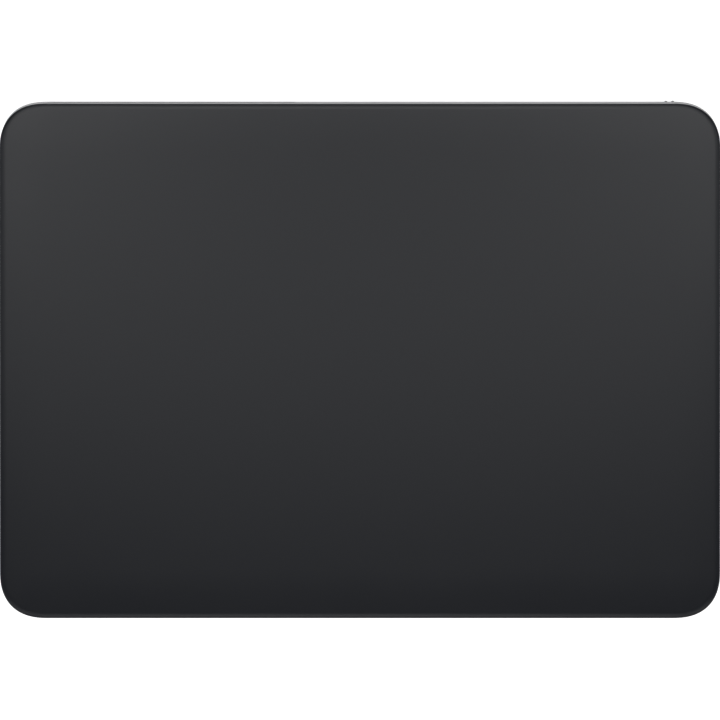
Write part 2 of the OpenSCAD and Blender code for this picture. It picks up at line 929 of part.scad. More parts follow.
// The tray: a drawn steel box with four ears at its rim
module haptic_tray() {
    color(steel)
        under_deck()
            translate([0, haptic_y, 0])
                difference() {
                    union() {
                        block([haptic_w, haptic_d, haptic_h]);
                        for (x = [-1, 1], y = [-1, 1])
                            translate([x * (haptic_w + ear) / 2 - x * ear / 4, y * ear_y, 0])
                                block([ear * 3 / 2, ear, tray_t]);
                    }
                    translate([0, 0, -cut])
                        block([haptic_w - 2 * tray_t, haptic_d - 2 * tray_t, haptic_h + cut - tray_t]);
                    for (x = [-1, 1], y = [-1, 1])
                        translate([x * (haptic_w + ear) / 2, y * ear_y, -cut])
                            cylinder(r = screw_r + 2 * screw_gap, h = tray_t + 2 * cut);
                }
}

module haptic_lid() {
    edge = 2 * (tray_t + lid_gap);
    color(steel)
        under_deck()
            translate([0, haptic_y, 0])
                block([haptic_w - edge, haptic_d - edge, lid_t]);
}

// Places of the magnets along the weight, two under each coil
magnet_x = [for (c = [-1, 1], m = [-1, 1]) c * coil_pitch / 2 + m * magnet_pitch / 2];

module haptic_weight() {
    pocket = magnet_t + magnet_gap;
    color(tungsten)
        under_deck()
            translate([0, haptic_y, mass_d0])
                difference() {
                    linear_extrude(mass_t)
                        rounded(mass_w, mass_d, mass_r);
                    for (x = magnet_x)
                        translate([x, 0, -cut])
                            block([magnet_w + 2 * magnet_gap, magnet_l + 2 * magnet_gap, pocket + cut]);
                }
}

module haptic_magnets() {
    color(steel)
        under_deck()
            for (x = magnet_x)
                translate([x, haptic_y, mass_d0 + magnet_gap])
                    block([magnet_w, magnet_l, magnet_t]);
}

module haptic_coils() {
    color(copper)
        under_deck()
            for (s = [-1, 1])
                translate([s * coil_pitch / 2, haptic_y, lid_t])
                    linear_extrude(coil_t)
                        difference() {
                            rounded(coil_w, coil_l, coil_band + coil_eye_r);
                            rounded(coil_w - 2 * coil_band, coil_l - 2 * coil_band, coil_eye_r);
                        }
}

// A leaf spring: a bow from the tray's end wall to the middle of the weight's end, with welded tabs
module haptic_spring(side) {
    room = spring_room - 2 * spring_t;
    bow_r = (pow(spring_chord / 2, 2) + room * room) / (2 * room);
    color(steel)
        under_deck()
            translate([side * tray_in_x, haptic_y, mass_d0 + (mass_t - spring_h) / 2])
                mirror([side > 0 ? 0 : 1, 0, 0])
                    linear_extrude(spring_h) {
                        intersection() {
                            translate([bow_r - room - spring_t, 0])
                                difference() {
                                    circle(bow_r);
                                    circle(bow_r - spring_t);
                                }
                            translate([-spring_room, -spring_chord])
                                square([spring_room - spring_t / 2, 2 * spring_chord]);
                        }
                        for (s = [-1, 1])
                            translate([-spring_t / 2, s * spring_chord / 2])
                                square([spring_t, spring_tab], center = true);
                        translate([spring_t - spring_room, 0])
                            square([2 * spring_t, spring_tab], center = true);
                    }
}

module haptic_ribbon() {
    edge = lane_y + lane_w / 2;
    color(ribbon_amber)
        under_deck() {
            ribbon([
                [-haptic_w / 2 - lane_w / 2, haptic_y],
                [-haptic_lane_x, haptic_y],
                [-haptic_lane_x, lane_y],
                [haptic_plug_x, lane_y]
            ], lane_w);
            translate([haptic_plug_x, edge - flex_t, 0])
                ribbon_tail(haptic_ribbon_w, 0, plug_y + plug_l / 2 - edge + flex_t);
        }
}

module haptic_screws() {
    color(steel)
        under_deck()
            for (x = [-1, 1], y = [-1, 1])
                translate([x * (haptic_w + ear) / 2, haptic_y + y * ear_y, tray_t])
                    screw(tray_t + deck_t - 2 * flex_t, head_t);
}

// A sensing beam: its middle carries a foot, its ends are screwed to the body and its arms bend
module beam(side, row) {
    color(steel)
        translate([side * foot_x, foot_y[row], beam_z])
            linear_extrude(beam_t)
                difference() {
                    union() {
                        circle(beam_pad_r);
                        square([2 * beam_screw_x, beam_w], center = true);
                        for (s = [-1, 1])
                            translate([s * beam_screw_x, 0])
                                circle(beam_end_r);
                    }
                    for (s = [-1, 1])
                        translate([s * beam_screw_x, 0])
                            circle(screw_r + beam_hole_gap);
                }
}

module strain_gauges() {
    color(ribbon_amber)
        for (x = [-foot_x, foot_x], y = foot_y, s = [-1, 1])
            translate([x + s * gauge_x, y, beam_top])
                block([gauge_l, gauge_w, gauge_t]);
}

module beam_screws() {
    color(steel)
        for (x = [-foot_x, foot_x], y = foot_y, s = [-1, 1])
            translate([x + s * beam_screw_x, y, beam_z])
                mirror([0, 0, 1])
                    screw(beam_t + beam_bite, beam_head_t);
}

// A foot post: a disc that holds the rubber, on a neck under the beam's middle
module foot_posts() {
    color(steel)
        for (x = [-foot_x, foot_x], y = foot_y)
            translate([x, y, 0]) {
                translate([0, 0, foot_t])
                    cylinder(r = post_disc_r, h = post_disc_t);
                translate([0, 0, foot_t])
                    cylinder(r = post_neck_r, h = beam_z - foot_t);
            }
}

module foot(side, row) {
    color(rubber_grey)
        translate([side * foot_x, foot_y[row], 0])
            rotate_extrude()
                difference() {
                    square([foot_r, foot_t]);
                    translate([foot_r - foot_round, foot_round])
                        difference() {
                            translate([0, -foot_round - cut])
                                square([foot_round + cut, foot_round + cut]);
                            circle(foot_round);
                        }
                }
}

// A force ribbon: along the body's side from the front beam to the rear one, and on to the main board
module force_ribbon(side) {
    beam_half = beam_w / 2;
    start = foot_y[0] + beam_half;
    branch = foot_y[1] - beam_half - 1;
    drop = (deck_z(branch) - beam_top) / cos(tilt) - 2 * flex_t;
    end_x = side < 0 ? board_x0 - plug_in : board_x1 + plug_in;
    end_y = side < 0 ? left_plug_y : right_plug_y;
    color(ribbon_amber)
        under_deck() {
            ribbon([
                [side * force_lane_x, start],
                [side * force_lane_x, end_y],
                [end_x, end_y]
            ], force_ribbon_w);
            translate([side * force_lane_x - force_ribbon_w / 2, branch, 0])
                cube([force_ribbon_w, flex_t, drop]);
            translate([side * force_lane_x - force_ribbon_w / 2, branch, drop - flex_t])
                cube([force_ribbon_w, beam_half + 1, flex_t]);
            translate([end_x - side * force_ribbon_w / 2, end_y, 0])
                rotate([0, 0, side < 0 ? -90 : 90])
                    ribbon_tail(force_ribbon_w, 0, 2 * plug_in + plug_l - force_ribbon_w / 2);
        }
}

// The knob: a rounded tongue in the slot with a nail scoop between two ridges, a flange and a fork
module switch_knob() {
    ridge = half_l + knob_out;
    scoop_w = knob_w * scoop_share;
    scoop_r = (pow(scoop_w / 2, 2) + knob_scoop * knob_scoop) / (2 * knob_scoop);
    color(aluminium) {
        difference() {
            at_rear(knob_x, flange_y)
                linear_extrude(ridge - flange_y)
                    stadium(knob_w, knob_h);
            at_rear(knob_x, ridge + scoop_r - knob_scoop)
                rotate([90, 0, 0])
                    cylinder(r = scoop_r, h = slot_h + 2 * cut, center = true);
        }
        at_rear(knob_x, flange_y)
            linear_extrude(flange_t)
                square([flange_l, flange_h], center = true);
        for (s = [-1, 1])
            at_rear(knob_x + s * (lever_w / 2 + fork_gap + fork_t / 2), fork_y)
                linear_extrude(fork_l)
                    square([fork_t, lever_h], center = true);
    }
}

module switch_lever() {
    color(chip_black)
        at_rear(knob_x, switch_rear - lever_in)
            linear_extrude(lever_in + flange_y - switch_rear - fork_gap)
                square([lever_w, lever_h], center = true);
}

module switch_housing() {
    color(steel)
        difference() {
            at_rear(switch_x, switch_front)
                linear_extrude(switch_d)
                    square([switch_l, switch_h], center = true);
            at_rear(switch_x, switch_rear - lever_slot_in)
                linear_extrude(lever_slot_in + cut)
                    square([lever_w + knob_travel + 2 * lever_clear, lever_h + 2 * lever_clear], center = true);
        }
}

module switch_board() {
    color(board_green)
        difference() {
            at_rear(switch_x - switch_board_tail / 2, switch_front - switch_board_t)
                linear_extrude(switch_board_t)
                    rounded(switch_board_l, switch_board_h, 1);
            for (s = [-1, 1])
                at_rear(switch_x + s * switch_boss_x, switch_front - switch_board_t - cut)
                    cylinder(r = screw_r + 2 * screw_gap, h = switch_board_t + 2 * cut);
        }
}

// The switch ribbon: from the switch board's face along to a connector under the main board
module switch_ribbon() {
    face_y = switch_front - switch_board_t;
    low = board_under + plug_h;
    x_end = board_x1 - plug_in - plug_l;
    x_fold = board_x1 + plug_in;
    x_start = switch_x - switch_boss_x - head_r - plug_side;
    plug_mid = right_plug_y;
    color(ribbon_amber)
        under_deck() {
            translate([x_fold - switch_ribbon_w / 2, face_y - flex_t, low])
                cube([x_start - x_fold + switch_ribbon_w / 2, flex_t, switch_ribbon_w]);
            translate([x_fold - switch_ribbon_w / 2, plug_mid - switch_ribbon_w / 2, low])
                cube([switch_ribbon_w, face_y - plug_mid + switch_ribbon_w / 2, flex_t]);
            translate([x_end, plug_mid - switch_ribbon_w / 2, low])
                cube([x_fold - x_end, switch_ribbon_w, flex_t]);
        }
}

module switch_screws() {
    color(steel)
        for (s = [-1, 1])
            at_rear(switch_x + s * switch_boss_x, switch_front - switch_board_t)
                mirror([0, 0, 1])
                    screw(switch_board_t + switch_screw_bite, head_t);
}

touch_glass();
glass_adhesive();
sensor_board();
touch_controller();
sensor_ribbon();
enclosure();
bottom_cover();
cover_tape();
antenna_window();
antenna_carrier();
antenna_foil();
antenna_cable();
port_shell();
port_insert();
port_contacts();
port_seal();
main_board();
board_chip(mcu_x, can_y, mcu_w, mcu_h);  // microcontroller
board_chip(radio_x, can_y, radio_w, radio_h);  // radio_chip
board_chip(charger_x, charger_y, charger_w, charger_h);  // charge_controller
board_chip(charger_x, converter_y, converter_w, converter_h);  // force_converter
shield_can();
ribbon_connectors();
board_screws();
battery_pouch();
battery_board();
battery_ribbon();
battery_tapes();
haptic_tray();
haptic_lid();
haptic_weight();
haptic_magnets();
haptic_coils();
haptic_spring(-1);  // haptic_spring_left
haptic_spring(1);  // haptic_spring_right
haptic_ribbon();
haptic_screws();
beam(-1, 0);  // beam_front_left
beam(1, 0);  // beam_front_right
beam(-1, 1);  // beam_rear_left
beam(1, 1);  // beam_rear_right
strain_gauges();
beam_screws();
foot_posts();
foot(-1, 0);  // foot_front_left
foot(1, 0);  // foot_front_right
foot(-1, 1);  // foot_rear_left
foot(1, 1);  // foot_rear_right
force_ribbon(-1);  // force_ribbon_left
force_ribbon(1);  // force_ribbon_right
switch_knob();
switch_lever();
switch_housing();
switch_board();
switch_ribbon();
switch_screws();
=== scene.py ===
import bmesh
import bpy
import numpy as np
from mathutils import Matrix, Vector, geometry


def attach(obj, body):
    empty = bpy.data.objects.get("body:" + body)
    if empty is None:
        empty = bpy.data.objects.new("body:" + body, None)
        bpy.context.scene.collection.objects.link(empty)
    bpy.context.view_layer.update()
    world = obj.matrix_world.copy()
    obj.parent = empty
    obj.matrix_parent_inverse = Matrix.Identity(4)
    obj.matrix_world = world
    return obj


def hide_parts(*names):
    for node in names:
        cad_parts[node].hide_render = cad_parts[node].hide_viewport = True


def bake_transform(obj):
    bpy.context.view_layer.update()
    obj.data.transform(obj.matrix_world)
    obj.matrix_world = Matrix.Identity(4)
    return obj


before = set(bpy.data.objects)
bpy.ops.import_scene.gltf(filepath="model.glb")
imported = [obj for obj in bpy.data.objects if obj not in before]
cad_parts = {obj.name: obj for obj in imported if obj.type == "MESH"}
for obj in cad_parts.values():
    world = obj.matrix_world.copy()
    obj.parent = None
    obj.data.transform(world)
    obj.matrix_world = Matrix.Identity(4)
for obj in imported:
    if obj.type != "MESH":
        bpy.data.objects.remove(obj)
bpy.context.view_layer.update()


# Body: one block of aluminium, milled to a wedge that is hollow from below, bead blasted and clear anodised.
# The glass is glued on its rim, and every inner piece hangs from its thin deck. Sizes are in millimetres, and
# only a finished mesh goes to metres.
plate_w, plate_l, front_h, rear_h = 160.0, 114.5, 4.9, 10.9
reach, power, pocket_r = 10.7, 2.45, 9.0
rim_drop, deck_drop, ceiling = 1.15, 1.65, 2.35
rim_chamfer, edge_r, desk_gap = 0.12, 0.5, 0.7
lip_t, wall_t, recess_inset, ledge_z = 0.9, 1.7, 2.6, 1.7
rear_line = 6.6
half_w, half_l = plate_w / 2, plate_l / 2
tilt = np.arcsin((rear_h - front_h) / plate_l)
front_y = -(plate_l * np.cos(tilt) + (rear_h - desk_gap) * np.tan(tilt)) / 2
plate_up = np.array([0, -np.sin(tilt), np.cos(tilt)])
plate_back = np.array([0, np.cos(tilt), np.sin(tilt)])


def lay(x, y, w):
    """Points of the plate's own frame (x to the right, y up its slope, w above its top face) in the part's
    frame: turned by the slope about the plate's front edge, then moved to where that edge is."""
    x, y, w = np.broadcast_arrays(x, y, w)
    up = y + half_l
    return np.stack([x, front_y + up * np.cos(tilt) - w * np.sin(tilt),
                     front_h + up * np.sin(tilt) + w * np.cos(tilt)], -1)


def level(y, z):
    """The plate's w, over a place y up its slope, of a point at the height z above the desk."""
    return (z - front_h - (y + half_l) * np.sin(tilt)) / np.cos(tilt)


def soft_corner(turn, inset):
    """The plate's right rear corner: the superellipse (a/R)^n + (b/R)^n = 1, drawn as a = R cos^(2/n) and
    b = R sin^(2/n), with every point moved inwards along the curve's own normal (a^(n-1), b^(n-1))."""
    c, s = np.cos(turn).clip(0) ** (2 / power), np.sin(turn).clip(0) ** (2 / power)
    normal = np.stack([c ** (power - 1), s ** (power - 1)], -1)
    normal /= np.linalg.norm(normal, axis=-1, keepdims=True)
    return np.stack([half_w - reach + reach * c, half_l - reach + reach * s], -1) - inset * normal


def round_corner(turn, inset):
    """A milled pocket's right rear corner: a circle whose radius shrinks with the inset."""
    arc = (pocket_r - inset) * np.stack([np.cos(turn), np.sin(turn)], -1)
    return np.array([half_w - pocket_r, half_l - pocket_r]) + arc


def loop(rear, along, front):
    """A closed loop, anticlockwise from the right side: the right rear corner, the points along the rear
    side, and the corners mirrored to the left rear, the left front and the right front."""
    return np.concatenate([rear, along, rear[::-1] * [-1, 1], -front, front[::-1] * [1, -1]])


# Each rear opening has a frame of wall round it: a rectangle whose loop has as many points as the opening's,
# so that one ring of quads joins the two. The frame's points are also columns and rows of the wall's grid.
# An opening is given by its middle, half its width, half its height and half its frame's width.
steps, frame_high, frame_end = 6, 2.4, 73.1
openings = {
    "switch": (67.7, 2.2, 1.0, 5.4),
    "socket": (0.0, 3.7, 1.3, 5.0),
    "window": (-41.9, 27.7, 1.8, 28.8),
}


def stadium(half, high):
    """Closed loop of a slot: half circles of radius high about the two points half - high from its middle."""
    turn = np.linspace(np.pi / 2, -np.pi / 2, 4 * steps + 1)
    end = np.stack([half - high + high * np.cos(turn), high * np.sin(turn)], -1)
    return np.concatenate([end, -end])


def rectangle(inner, half, high):
    """Closed loop of a rectangle with a stadium's count of points: each end runs in equal steps from the
    point inner along the upper edge, down the end and back along the lower edge."""
    across = np.linspace(inner, half, steps + 1)
    down = np.linspace(high, -high, 2 * steps + 1)[1:-1]
    end = np.concatenate([np.stack([across, np.full_like(across, high)], -1),
                          np.stack([np.full_like(down, half), down], -1),
                          np.stack([across[::-1], np.full_like(across, -high)], -1)])
    return np.concatenate([end, -end])


# Stations are the places along the rear side where the wall has a column. Three lie past the window's frame.
past_window = [-71.5, -72.3, -frame_end]
stations = np.concatenate([
    mid + side * np.linspace(half - high, wide, steps + 1)[::side]
    for mid, half, high, wide in openings.values() for side in (1, -1)
] + [past_window])
stations = np.sort(stations)[::-1]
corner_share = np.linspace(0, 1, 37)


def body_loop(inset):
    """The body's outline, moved inwards: superellipse corners that run to the rear side's last stations."""
    past = ((abs(stations) - half_w + reach) / reach).clip(0, 1)
    turn = np.arccos(past ** (power / 2))
    edge, moved = soft_corner(turn, 0), soft_corner(turn, inset)
    along = np.stack([np.sign(stations) * (abs(stations) + (moved - edge)[:, 0]), moved[:, 1]], -1)
    rear = soft_corner(corner_share[:-1] * turn[0], inset)
    return loop(rear, along, soft_corner(corner_share * np.pi / 2, inset))


def pocket_loop(inset):
    """A milled pocket's outline with the body's columns: circular corners that run to the same stations."""
    turn = np.arccos(((abs(stations) - half_w + pocket_r) / (pocket_r - inset)).clip(0, 1))
    along = np.stack([stations, round_corner(turn, inset)[:, 1]], -1)
    rear = round_corner(corner_share[:-1] * turn[0], inset)
    return loop(rear, along, round_corner(corner_share * np.pi / 2, inset))


def weave(rows, keep=None):
    """Quads between neighbouring rows of points, each row a closed loop with the same count of points."""
    rows = np.asarray(rows)
    at = np.arange(rows.shape[0] * rows.shape[1]).reshape(rows.shape[:2])
    beside = np.roll(at, -1, 1)
    quads = np.stack([at[:-1], beside[:-1], beside[1:], at[1:]], -1)
    return rows.reshape(-1, 3), quads.reshape(-1, 4) if keep is None else quads[keep]


def fill(*loops):
    """Triangles over a flat face: the first loop is its edge, and the others are holes in it."""
    return np.concatenate(loops), np.array(geometry.tessellate_polygon([edge.tolist() for edge in loops]))


def turned(profile, foot, along, sides=48):
    """A turned solid: every (radius, height) of the profile is a circle about the axis from foot, and a flat
    face closes the first and the last circle."""
    turn = np.arange(sides) * 2 * np.pi / sides
    circle = np.stack([np.cos(turn), np.sin(turn)], -1) @ np.array([[1, 0, 0], np.cross(along, [1, 0, 0])])
    profile = np.asarray(profile, float)
    rows = np.asarray(foot) + profile[:, :1, None] * circle + (profile[:, 1:] * along)[:, None]
    return [weave(rows), fill(rows[0]), fill(rows[-1])]


weld_gap, crisp_angle = 1e-7, np.radians(35)


def shape(name, patches):
    """One mesh in metres from patches of points and faces in millimetres: points that coincide become one,
    faces turn outwards, and only edges of more than crisp_angle stay crisp."""
    starts = np.cumsum([0] + [len(points) for points, faces in patches])
    mesh = bpy.data.meshes.new(name)
    mesh.from_pydata((np.concatenate([points for points, faces in patches]) / 1000).tolist(), [],
                     sum([(faces + start).tolist() for start, (points, faces) in zip(starts, patches)], []))
    skin = bmesh.new()
    skin.from_mesh(mesh)
    bmesh.ops.remove_doubles(skin, verts=skin.verts, dist=weld_gap)
    bmesh.ops.recalc_face_normals(skin, faces=skin.faces)
    skin.to_mesh(mesh)
    skin.free()
    mesh.shade_smooth()
    mesh.set_sharp_from_angle(angle=crisp_angle)
    piece = bpy.data.objects.new(name, mesh)
    bpy.context.scene.collection.objects.link(piece)
    return piece


# The wall's rows, as heights on the rear wall, run through the openings' frames from top to bottom
frame_rows = -rear_line + np.linspace(frame_high, -frame_high, 2 * steps + 1)
first_station = len(corner_share) - 1


def wall(edge, top, foot):
    """Rows of a wall between the heights top and foot: along the rear side the rows of the frames, and
    elsewhere the same shares of the wall's height."""
    along = np.zeros(len(edge), bool)
    along[first_station:first_station + len(stations)] = True
    low = foot[along].min()
    share = (frame_rows - low) / (top - low)
    return [lay(*edge.T, np.where(along, w, foot + s * (top - foot))) for w, s in zip(frame_rows, share)]


outline, thin_rim, recess = body_loop(0), body_loop(rim_chamfer), pocket_loop(recess_inset)
lip, cave = pocket_loop(lip_t), pocket_loop(wall_t)
quarter = np.linspace(0, np.pi / 2, 9)
rounding = [(edge_r * (1 - np.cos(t)), desk_gap + edge_r * (1 - np.sin(t))) for t in quarter]
rows = [lay(*recess.T, -deck_drop), lay(*recess.T, -rim_drop), lay(*thin_rim.T, -rim_drop)]
rows += [lay(*outline.T, -rim_drop - rim_chamfer)]
outer_first = len(rows)
rows += wall(outline, -rim_drop - rim_chamfer, level(outline[:, 1], desk_gap + edge_r))
rows += [lay(*body_loop(inset).T, level(body_loop(inset)[:, 1], z)) for inset, z in rounding]
rows += [lay(*lip.T, level(lip[:, 1], z)) for z in (desk_gap, ledge_z)]
rows += [lay(*cave.T, level(cave[:, 1], ledge_z))]
inner_first = len(rows)
rows += wall(cave, -ceiling, level(cave[:, 1], ledge_z))[::-1] + [lay(*cave.T, -ceiling)]

# The wall's grid leaves out the quads inside the frames
keep, slack = np.ones((len(rows) - 1, len(outline)), bool), 1e-6
for mid, half, high, wide in openings.values():
    framed = (stations <= mid + wide + slack) & (stations > mid - wide + slack)
    columns = first_station + np.flatnonzero(framed)
    for first in (outer_first, inner_first):
        keep[first:first + 2 * steps, columns] = False
patches = [weave(rows, keep)]


def outer_rear(x):
    """How far back the rear wall's outside is at x: level, and past the corner's start the superellipse."""
    past = ((abs(x) - half_w + reach) / reach).clip(0, 1)
    return half_l - reach + reach * (1 - past ** power) ** (1 / power)


def inner_rear(x):
    """How far back the rear wall's inside is at x: level, and past the corner's start the circle."""
    return half_l - pocket_r + np.sqrt((pocket_r - wall_t) ** 2 - (abs(x) - half_w + pocket_r).clip(0) ** 2)


# A fine chamfer breaks the outer edge of each opening. The slot widens to a pocket inside, where the switch's
# flange slides, and the other two openings go straight through.
mouth_chamfer, slot_wall, pocket_half, pocket_high = 0.02, 1.3, 4.9, 2.0
for name, (mid, half, high, wide) in openings.items():
    around = rectangle(half - high, wide, frame_high) + [mid, 0]
    broken = stadium(half + mouth_chamfer, high + mouth_chamfer) + [mid, 0]
    mouth = stadium(half, high) + [mid, 0]
    between = np.linspace(around, broken, steps + 1)
    rings = [lay(p[:, 0], outer_rear(p[:, 0]), p[:, 1] - rear_line) for p in between]
    rings += [lay(mouth[:, 0], outer_rear(mouth[:, 0]) - mouth_chamfer, mouth[:, 1] - rear_line)]
    if name == "switch":
        pocket = rectangle(half - high, pocket_half, pocket_high) + [mid, 0]
        rings += [lay(p[:, 0], half_l - slot_wall, p[:, 1] - rear_line) for p in (mouth, pocket)]
        mouth = pocket
    rings += [lay(p[:, 0], inner_rear(p[:, 0]), p[:, 1] - rear_line) for p in (mouth, around)]
    patches.append(weave(rings))

# Windows in the deck for the touch controller and the sensor ribbon, each from half its size and its middle
square = np.array([[1, 1], [-1, 1], [-1, -1], [1, -1]])
deck_windows = [square * [6.0, 6.0] + [24.0, -30.35], square * [5.0, 0.56] + [32.0, 40.71]]
patches += [fill(rows[0], *[lay(*p.T, -deck_drop) for p in deck_windows])]
patches += [fill(rows[-1], *[lay(*p.T, -ceiling) for p in deck_windows])]
patches += [weave([lay(*p.T, -deck_drop), lay(*p.T, -ceiling)]) for p in deck_windows]

# Bosses with blind screw holes, rooted in the deck or the rear wall: two for each of the four beams, whose
# middles carry the feet, three for the main board and two for the switch
hole_r, boss_root, upright = 0.56, 0.35, np.array([0, 0, 1.0])


def boss(radius, tall, hole, foot, along):
    """A turned boss: its profile comes out of the blind hole, crosses its end face and runs up its side."""
    return turned([(hole_r, hole), (hole_r, 0), (radius, 0), (radius, tall)], foot, along)


foot_x, front_foot, rear_foot, beam_reach = 66.5, 12.0, 13.5, 8.6
foot_rows = (front_y + front_foot, -front_y - rear_foot)
beam_top, beam_hole, beam_boss_r = 2.65, 0.96, 2.0
for x in (-foot_x - beam_reach, -foot_x + beam_reach, foot_x - beam_reach, foot_x + beam_reach):
    for y in foot_rows:
        tall = front_h + (y - front_y) * np.tan(tilt) - ceiling / np.cos(tilt) + boss_root - beam_top
        patches += boss(beam_boss_r, tall, beam_hole, [x, y, beam_top], upright)
board_drop, board_hole, board_boss_r = 1.85, 1.46, 1.6
for x, y in ((-9.8, 44.25), (47.8, 44.25), (47.8, 52.85)):
    foot = lay(x, y, -ceiling - board_drop)
    patches += boss(board_boss_r, board_drop + boss_root, board_hole, foot, plate_up)
switch_front, switch_hole, switch_boss_r, switch_boss_l = 51.5, 2.46, 1.25, 4.2
for x in (61.5, 73.9):
    foot = lay(x, switch_front, -rear_line)
    patches += boss(switch_boss_r, switch_boss_l, switch_hole, foot, plate_back)
body = shape("body", patches)


def ink(code):
    """A colour that is written as sRGB hex, as linear light."""
    c = np.array([int(code[i:i + 2], 16) for i in (1, 3, 5)]) / 255
    return (*np.where(c <= 0.04045, c / 12.92, ((c + 0.055) / 1.055) ** 2.4), 1.0)


def add(tree, kind, settings, links):
    """Adds one node: a setting goes to the input of that name or number, or else to the node itself, and a
    link feeds an input from another node's output."""
    made = tree.nodes.new("ShaderNode" + kind)
    for key, value in settings.items():
        if isinstance(key, int) or key in made.inputs:
            made.inputs[key].default_value = value
        else:
            setattr(made, key, value)
    for key, output in links.items():
        tree.links.new(output, made.inputs[key])
    return made


def finish(name, sockets):
    """A new material with the shader's constant sockets set. Gives its node tree, its shader and Object
    coordinates."""
    material = bpy.data.materials.new(name)
    material.use_nodes = True
    tree = material.node_tree
    shader = tree.nodes["Principled BSDF"]
    for key, value in sockets.items():
        shader.inputs[key].default_value = value
    return tree, shader, add(tree, "TexCoord", {}, {}).outputs["Object"]


# Bead blasting leaves a fine even grain under the clear oxide: a soft, slightly sparkling satin. The beads'
# marks are about 0.08 mm wide, and are drawn at 0.3 mm so that they show.
tree, shader, place = finish("bead_blasted_anodised_aluminium", {"Metallic": 1.0})
beads = add(tree, "TexNoise", {"Scale": 1000 / 0.3, "Detail": 2.0, "Roughness": 0.65}, {"Vector": place})
cloud = add(tree, "TexNoise", {"Scale": 1000 / 14, "Detail": 1.0}, {"Vector": place})
tone = add(tree, "Mix", {"data_type": "RGBA", 6: ink("#c2c3c5"), 7: ink("#cdced0")},
           {0: cloud.outputs["Fac"]})
satin = add(tree, "MapRange", {"To Min": 0.34, "To Max": 0.46}, {"Value": beads.outputs["Fac"]})
dents = add(tree, "Bump", {"Strength": 0.25, "Distance": 0.00003}, {"Height": beads.outputs["Fac"]})
tree.links.new(tone.outputs[2], shader.inputs["Base Color"])
tree.links.new(satin.outputs[0], shader.inputs["Roughness"])
tree.links.new(dents.outputs[0], shader.inputs["Normal"])
blasted = bpy.data.materials["bead_blasted_anodised_aluminium"]
body.data.materials.append(blasted)
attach(body, "case")
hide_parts("enclosure")


# Charge socket: a drawn stainless shell with a moulded insert and eight gold plated contacts on its tongue.
# It hangs from the main board, and a silicone ring seals it against the body's rear wall.
port_rear, port_l, shell_mid, shell_high, shell_half_t = 55.15, 7.6, 3.8, 1.4, 0.2
turn = np.linspace(0, np.pi, 13)
section = np.concatenate([
    np.stack([shell_half_t * np.cos(turn), port_rear - shell_half_t + shell_half_t * np.sin(turn)], -1),
    [[-shell_half_t, port_rear - port_l], [shell_half_t, port_rear - port_l]],
])
section = np.concatenate([section, section[:1]])
edges = [stadium(shell_mid + out, shell_high + out) for out, y in section]
rings = [lay(p[:, 0], y, p[:, 1] - rear_line) for p, (out, y) in zip(edges, section)]
shell = shape("socket_shell", [weave(rings)])

# Deep drawing leaves faint lines along the shell, about 0.05 mm apart, drawn at 0.2 mm so that they show
tree, shader, place = finish("drawn_stainless_steel", {"Metallic": 1.0, "Base Color": ink("#b9b8b4")})
along = add(tree, "Mapping", {"Scale": (1000 / 0.2, 300.0, 1000 / 0.2)}, {"Vector": place})
lines = add(tree, "TexNoise", {"Scale": 1.0, "Detail": 2.0}, {"Vector": along.outputs[0]})
sheen = add(tree, "MapRange", {"To Min": 0.2, "To Max": 0.36}, {"Value": lines.outputs["Fac"]})
tree.links.new(sheen.outputs[0], shader.inputs["Roughness"])
stainless = bpy.data.materials["drawn_stainless_steel"]
shell.data.materials.append(stainless)
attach(shell, "case")
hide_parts("port_shell")


def dress(material, *names):
    """Gives the CAD nodes of those names a finish, in the slots that their objects have."""
    for name in names:
        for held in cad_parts[name].material_slots:
            held.material = bpy.data.materials[material]


# Glass filled polymer from a fine mould, a dead black with a faint flow pattern some 0.4 mm wide
tree, shader, place = finish("moulded_black_polymer", {"IOR": 1.58})
flow = add(tree, "TexNoise", {"Scale": 1000 / 0.4, "Detail": 3.0}, {"Vector": place})
tone = add(tree, "Mix", {"data_type": "RGBA", 6: ink("#131415"), 7: ink("#1e1f21")}, {0: flow.outputs["Fac"]})
dull = add(tree, "MapRange", {"To Min": 0.42, "To Max": 0.58}, {"Value": flow.outputs["Fac"]})
tree.links.new(tone.outputs[2], shader.inputs["Base Color"])
tree.links.new(dull.outputs[0], shader.inputs["Roughness"])
dress("moulded_black_polymer", "port_insert")

# Gold over nickel, plated on stamped bronze: bright, with the stamping's lines about 0.11 mm apart
tree, shader, place = finish("gold_plated_bronze", {"Metallic": 1.0, "Base Color": ink("#d6b065")})
along = add(tree, "Mapping", {"Scale": (9000.0, 1000 / 5, 9000.0)}, {"Vector": place})
lines = add(tree, "TexNoise", {"Scale": 1.0, "Detail": 1.0}, {"Vector": along.outputs[0]})
gloss = add(tree, "MapRange", {"To Min": 0.14, "To Max": 0.28}, {"Value": lines.outputs["Fac"]})
tree.links.new(gloss.outputs[0], shader.inputs["Roughness"])
dress("gold_plated_bronze", "port_contacts")

# Moulded silicone: matt, with a bloom of finest dust in patches about 0.6 mm wide
tree, shader, place = finish("moulded_silicone_rubber",
                             {"IOR": 1.41, "Sheen Weight": 0.15, "Sheen Roughness": 0.5})
bloom = add(tree, "TexNoise", {"Scale": 1000 / 0.6, "Detail": 4.0, "Roughness": 0.7}, {"Vector": place})
tone = add(tree, "Mix", {"data_type": "RGBA", 6: ink("#66676a"), 7: ink("#77787b")},
           {0: bloom.outputs["Fac"]})
matt = add(tree, "MapRange", {"To Min": 0.68, "To Max": 0.86}, {"Value": bloom.outputs["Fac"]})
skin = add(tree, "Bump", {"Strength": 0.2, "Distance": 0.00004}, {"Height": bloom.outputs["Fac"]})
tree.links.new(tone.outputs[2], shader.inputs["Base Color"])
tree.links.new(matt.outputs[0], shader.inputs["Roughness"])
tree.links.new(skin.outputs[0], shader.inputs["Normal"])
dress("moulded_silicone_rubber", "port_seal")


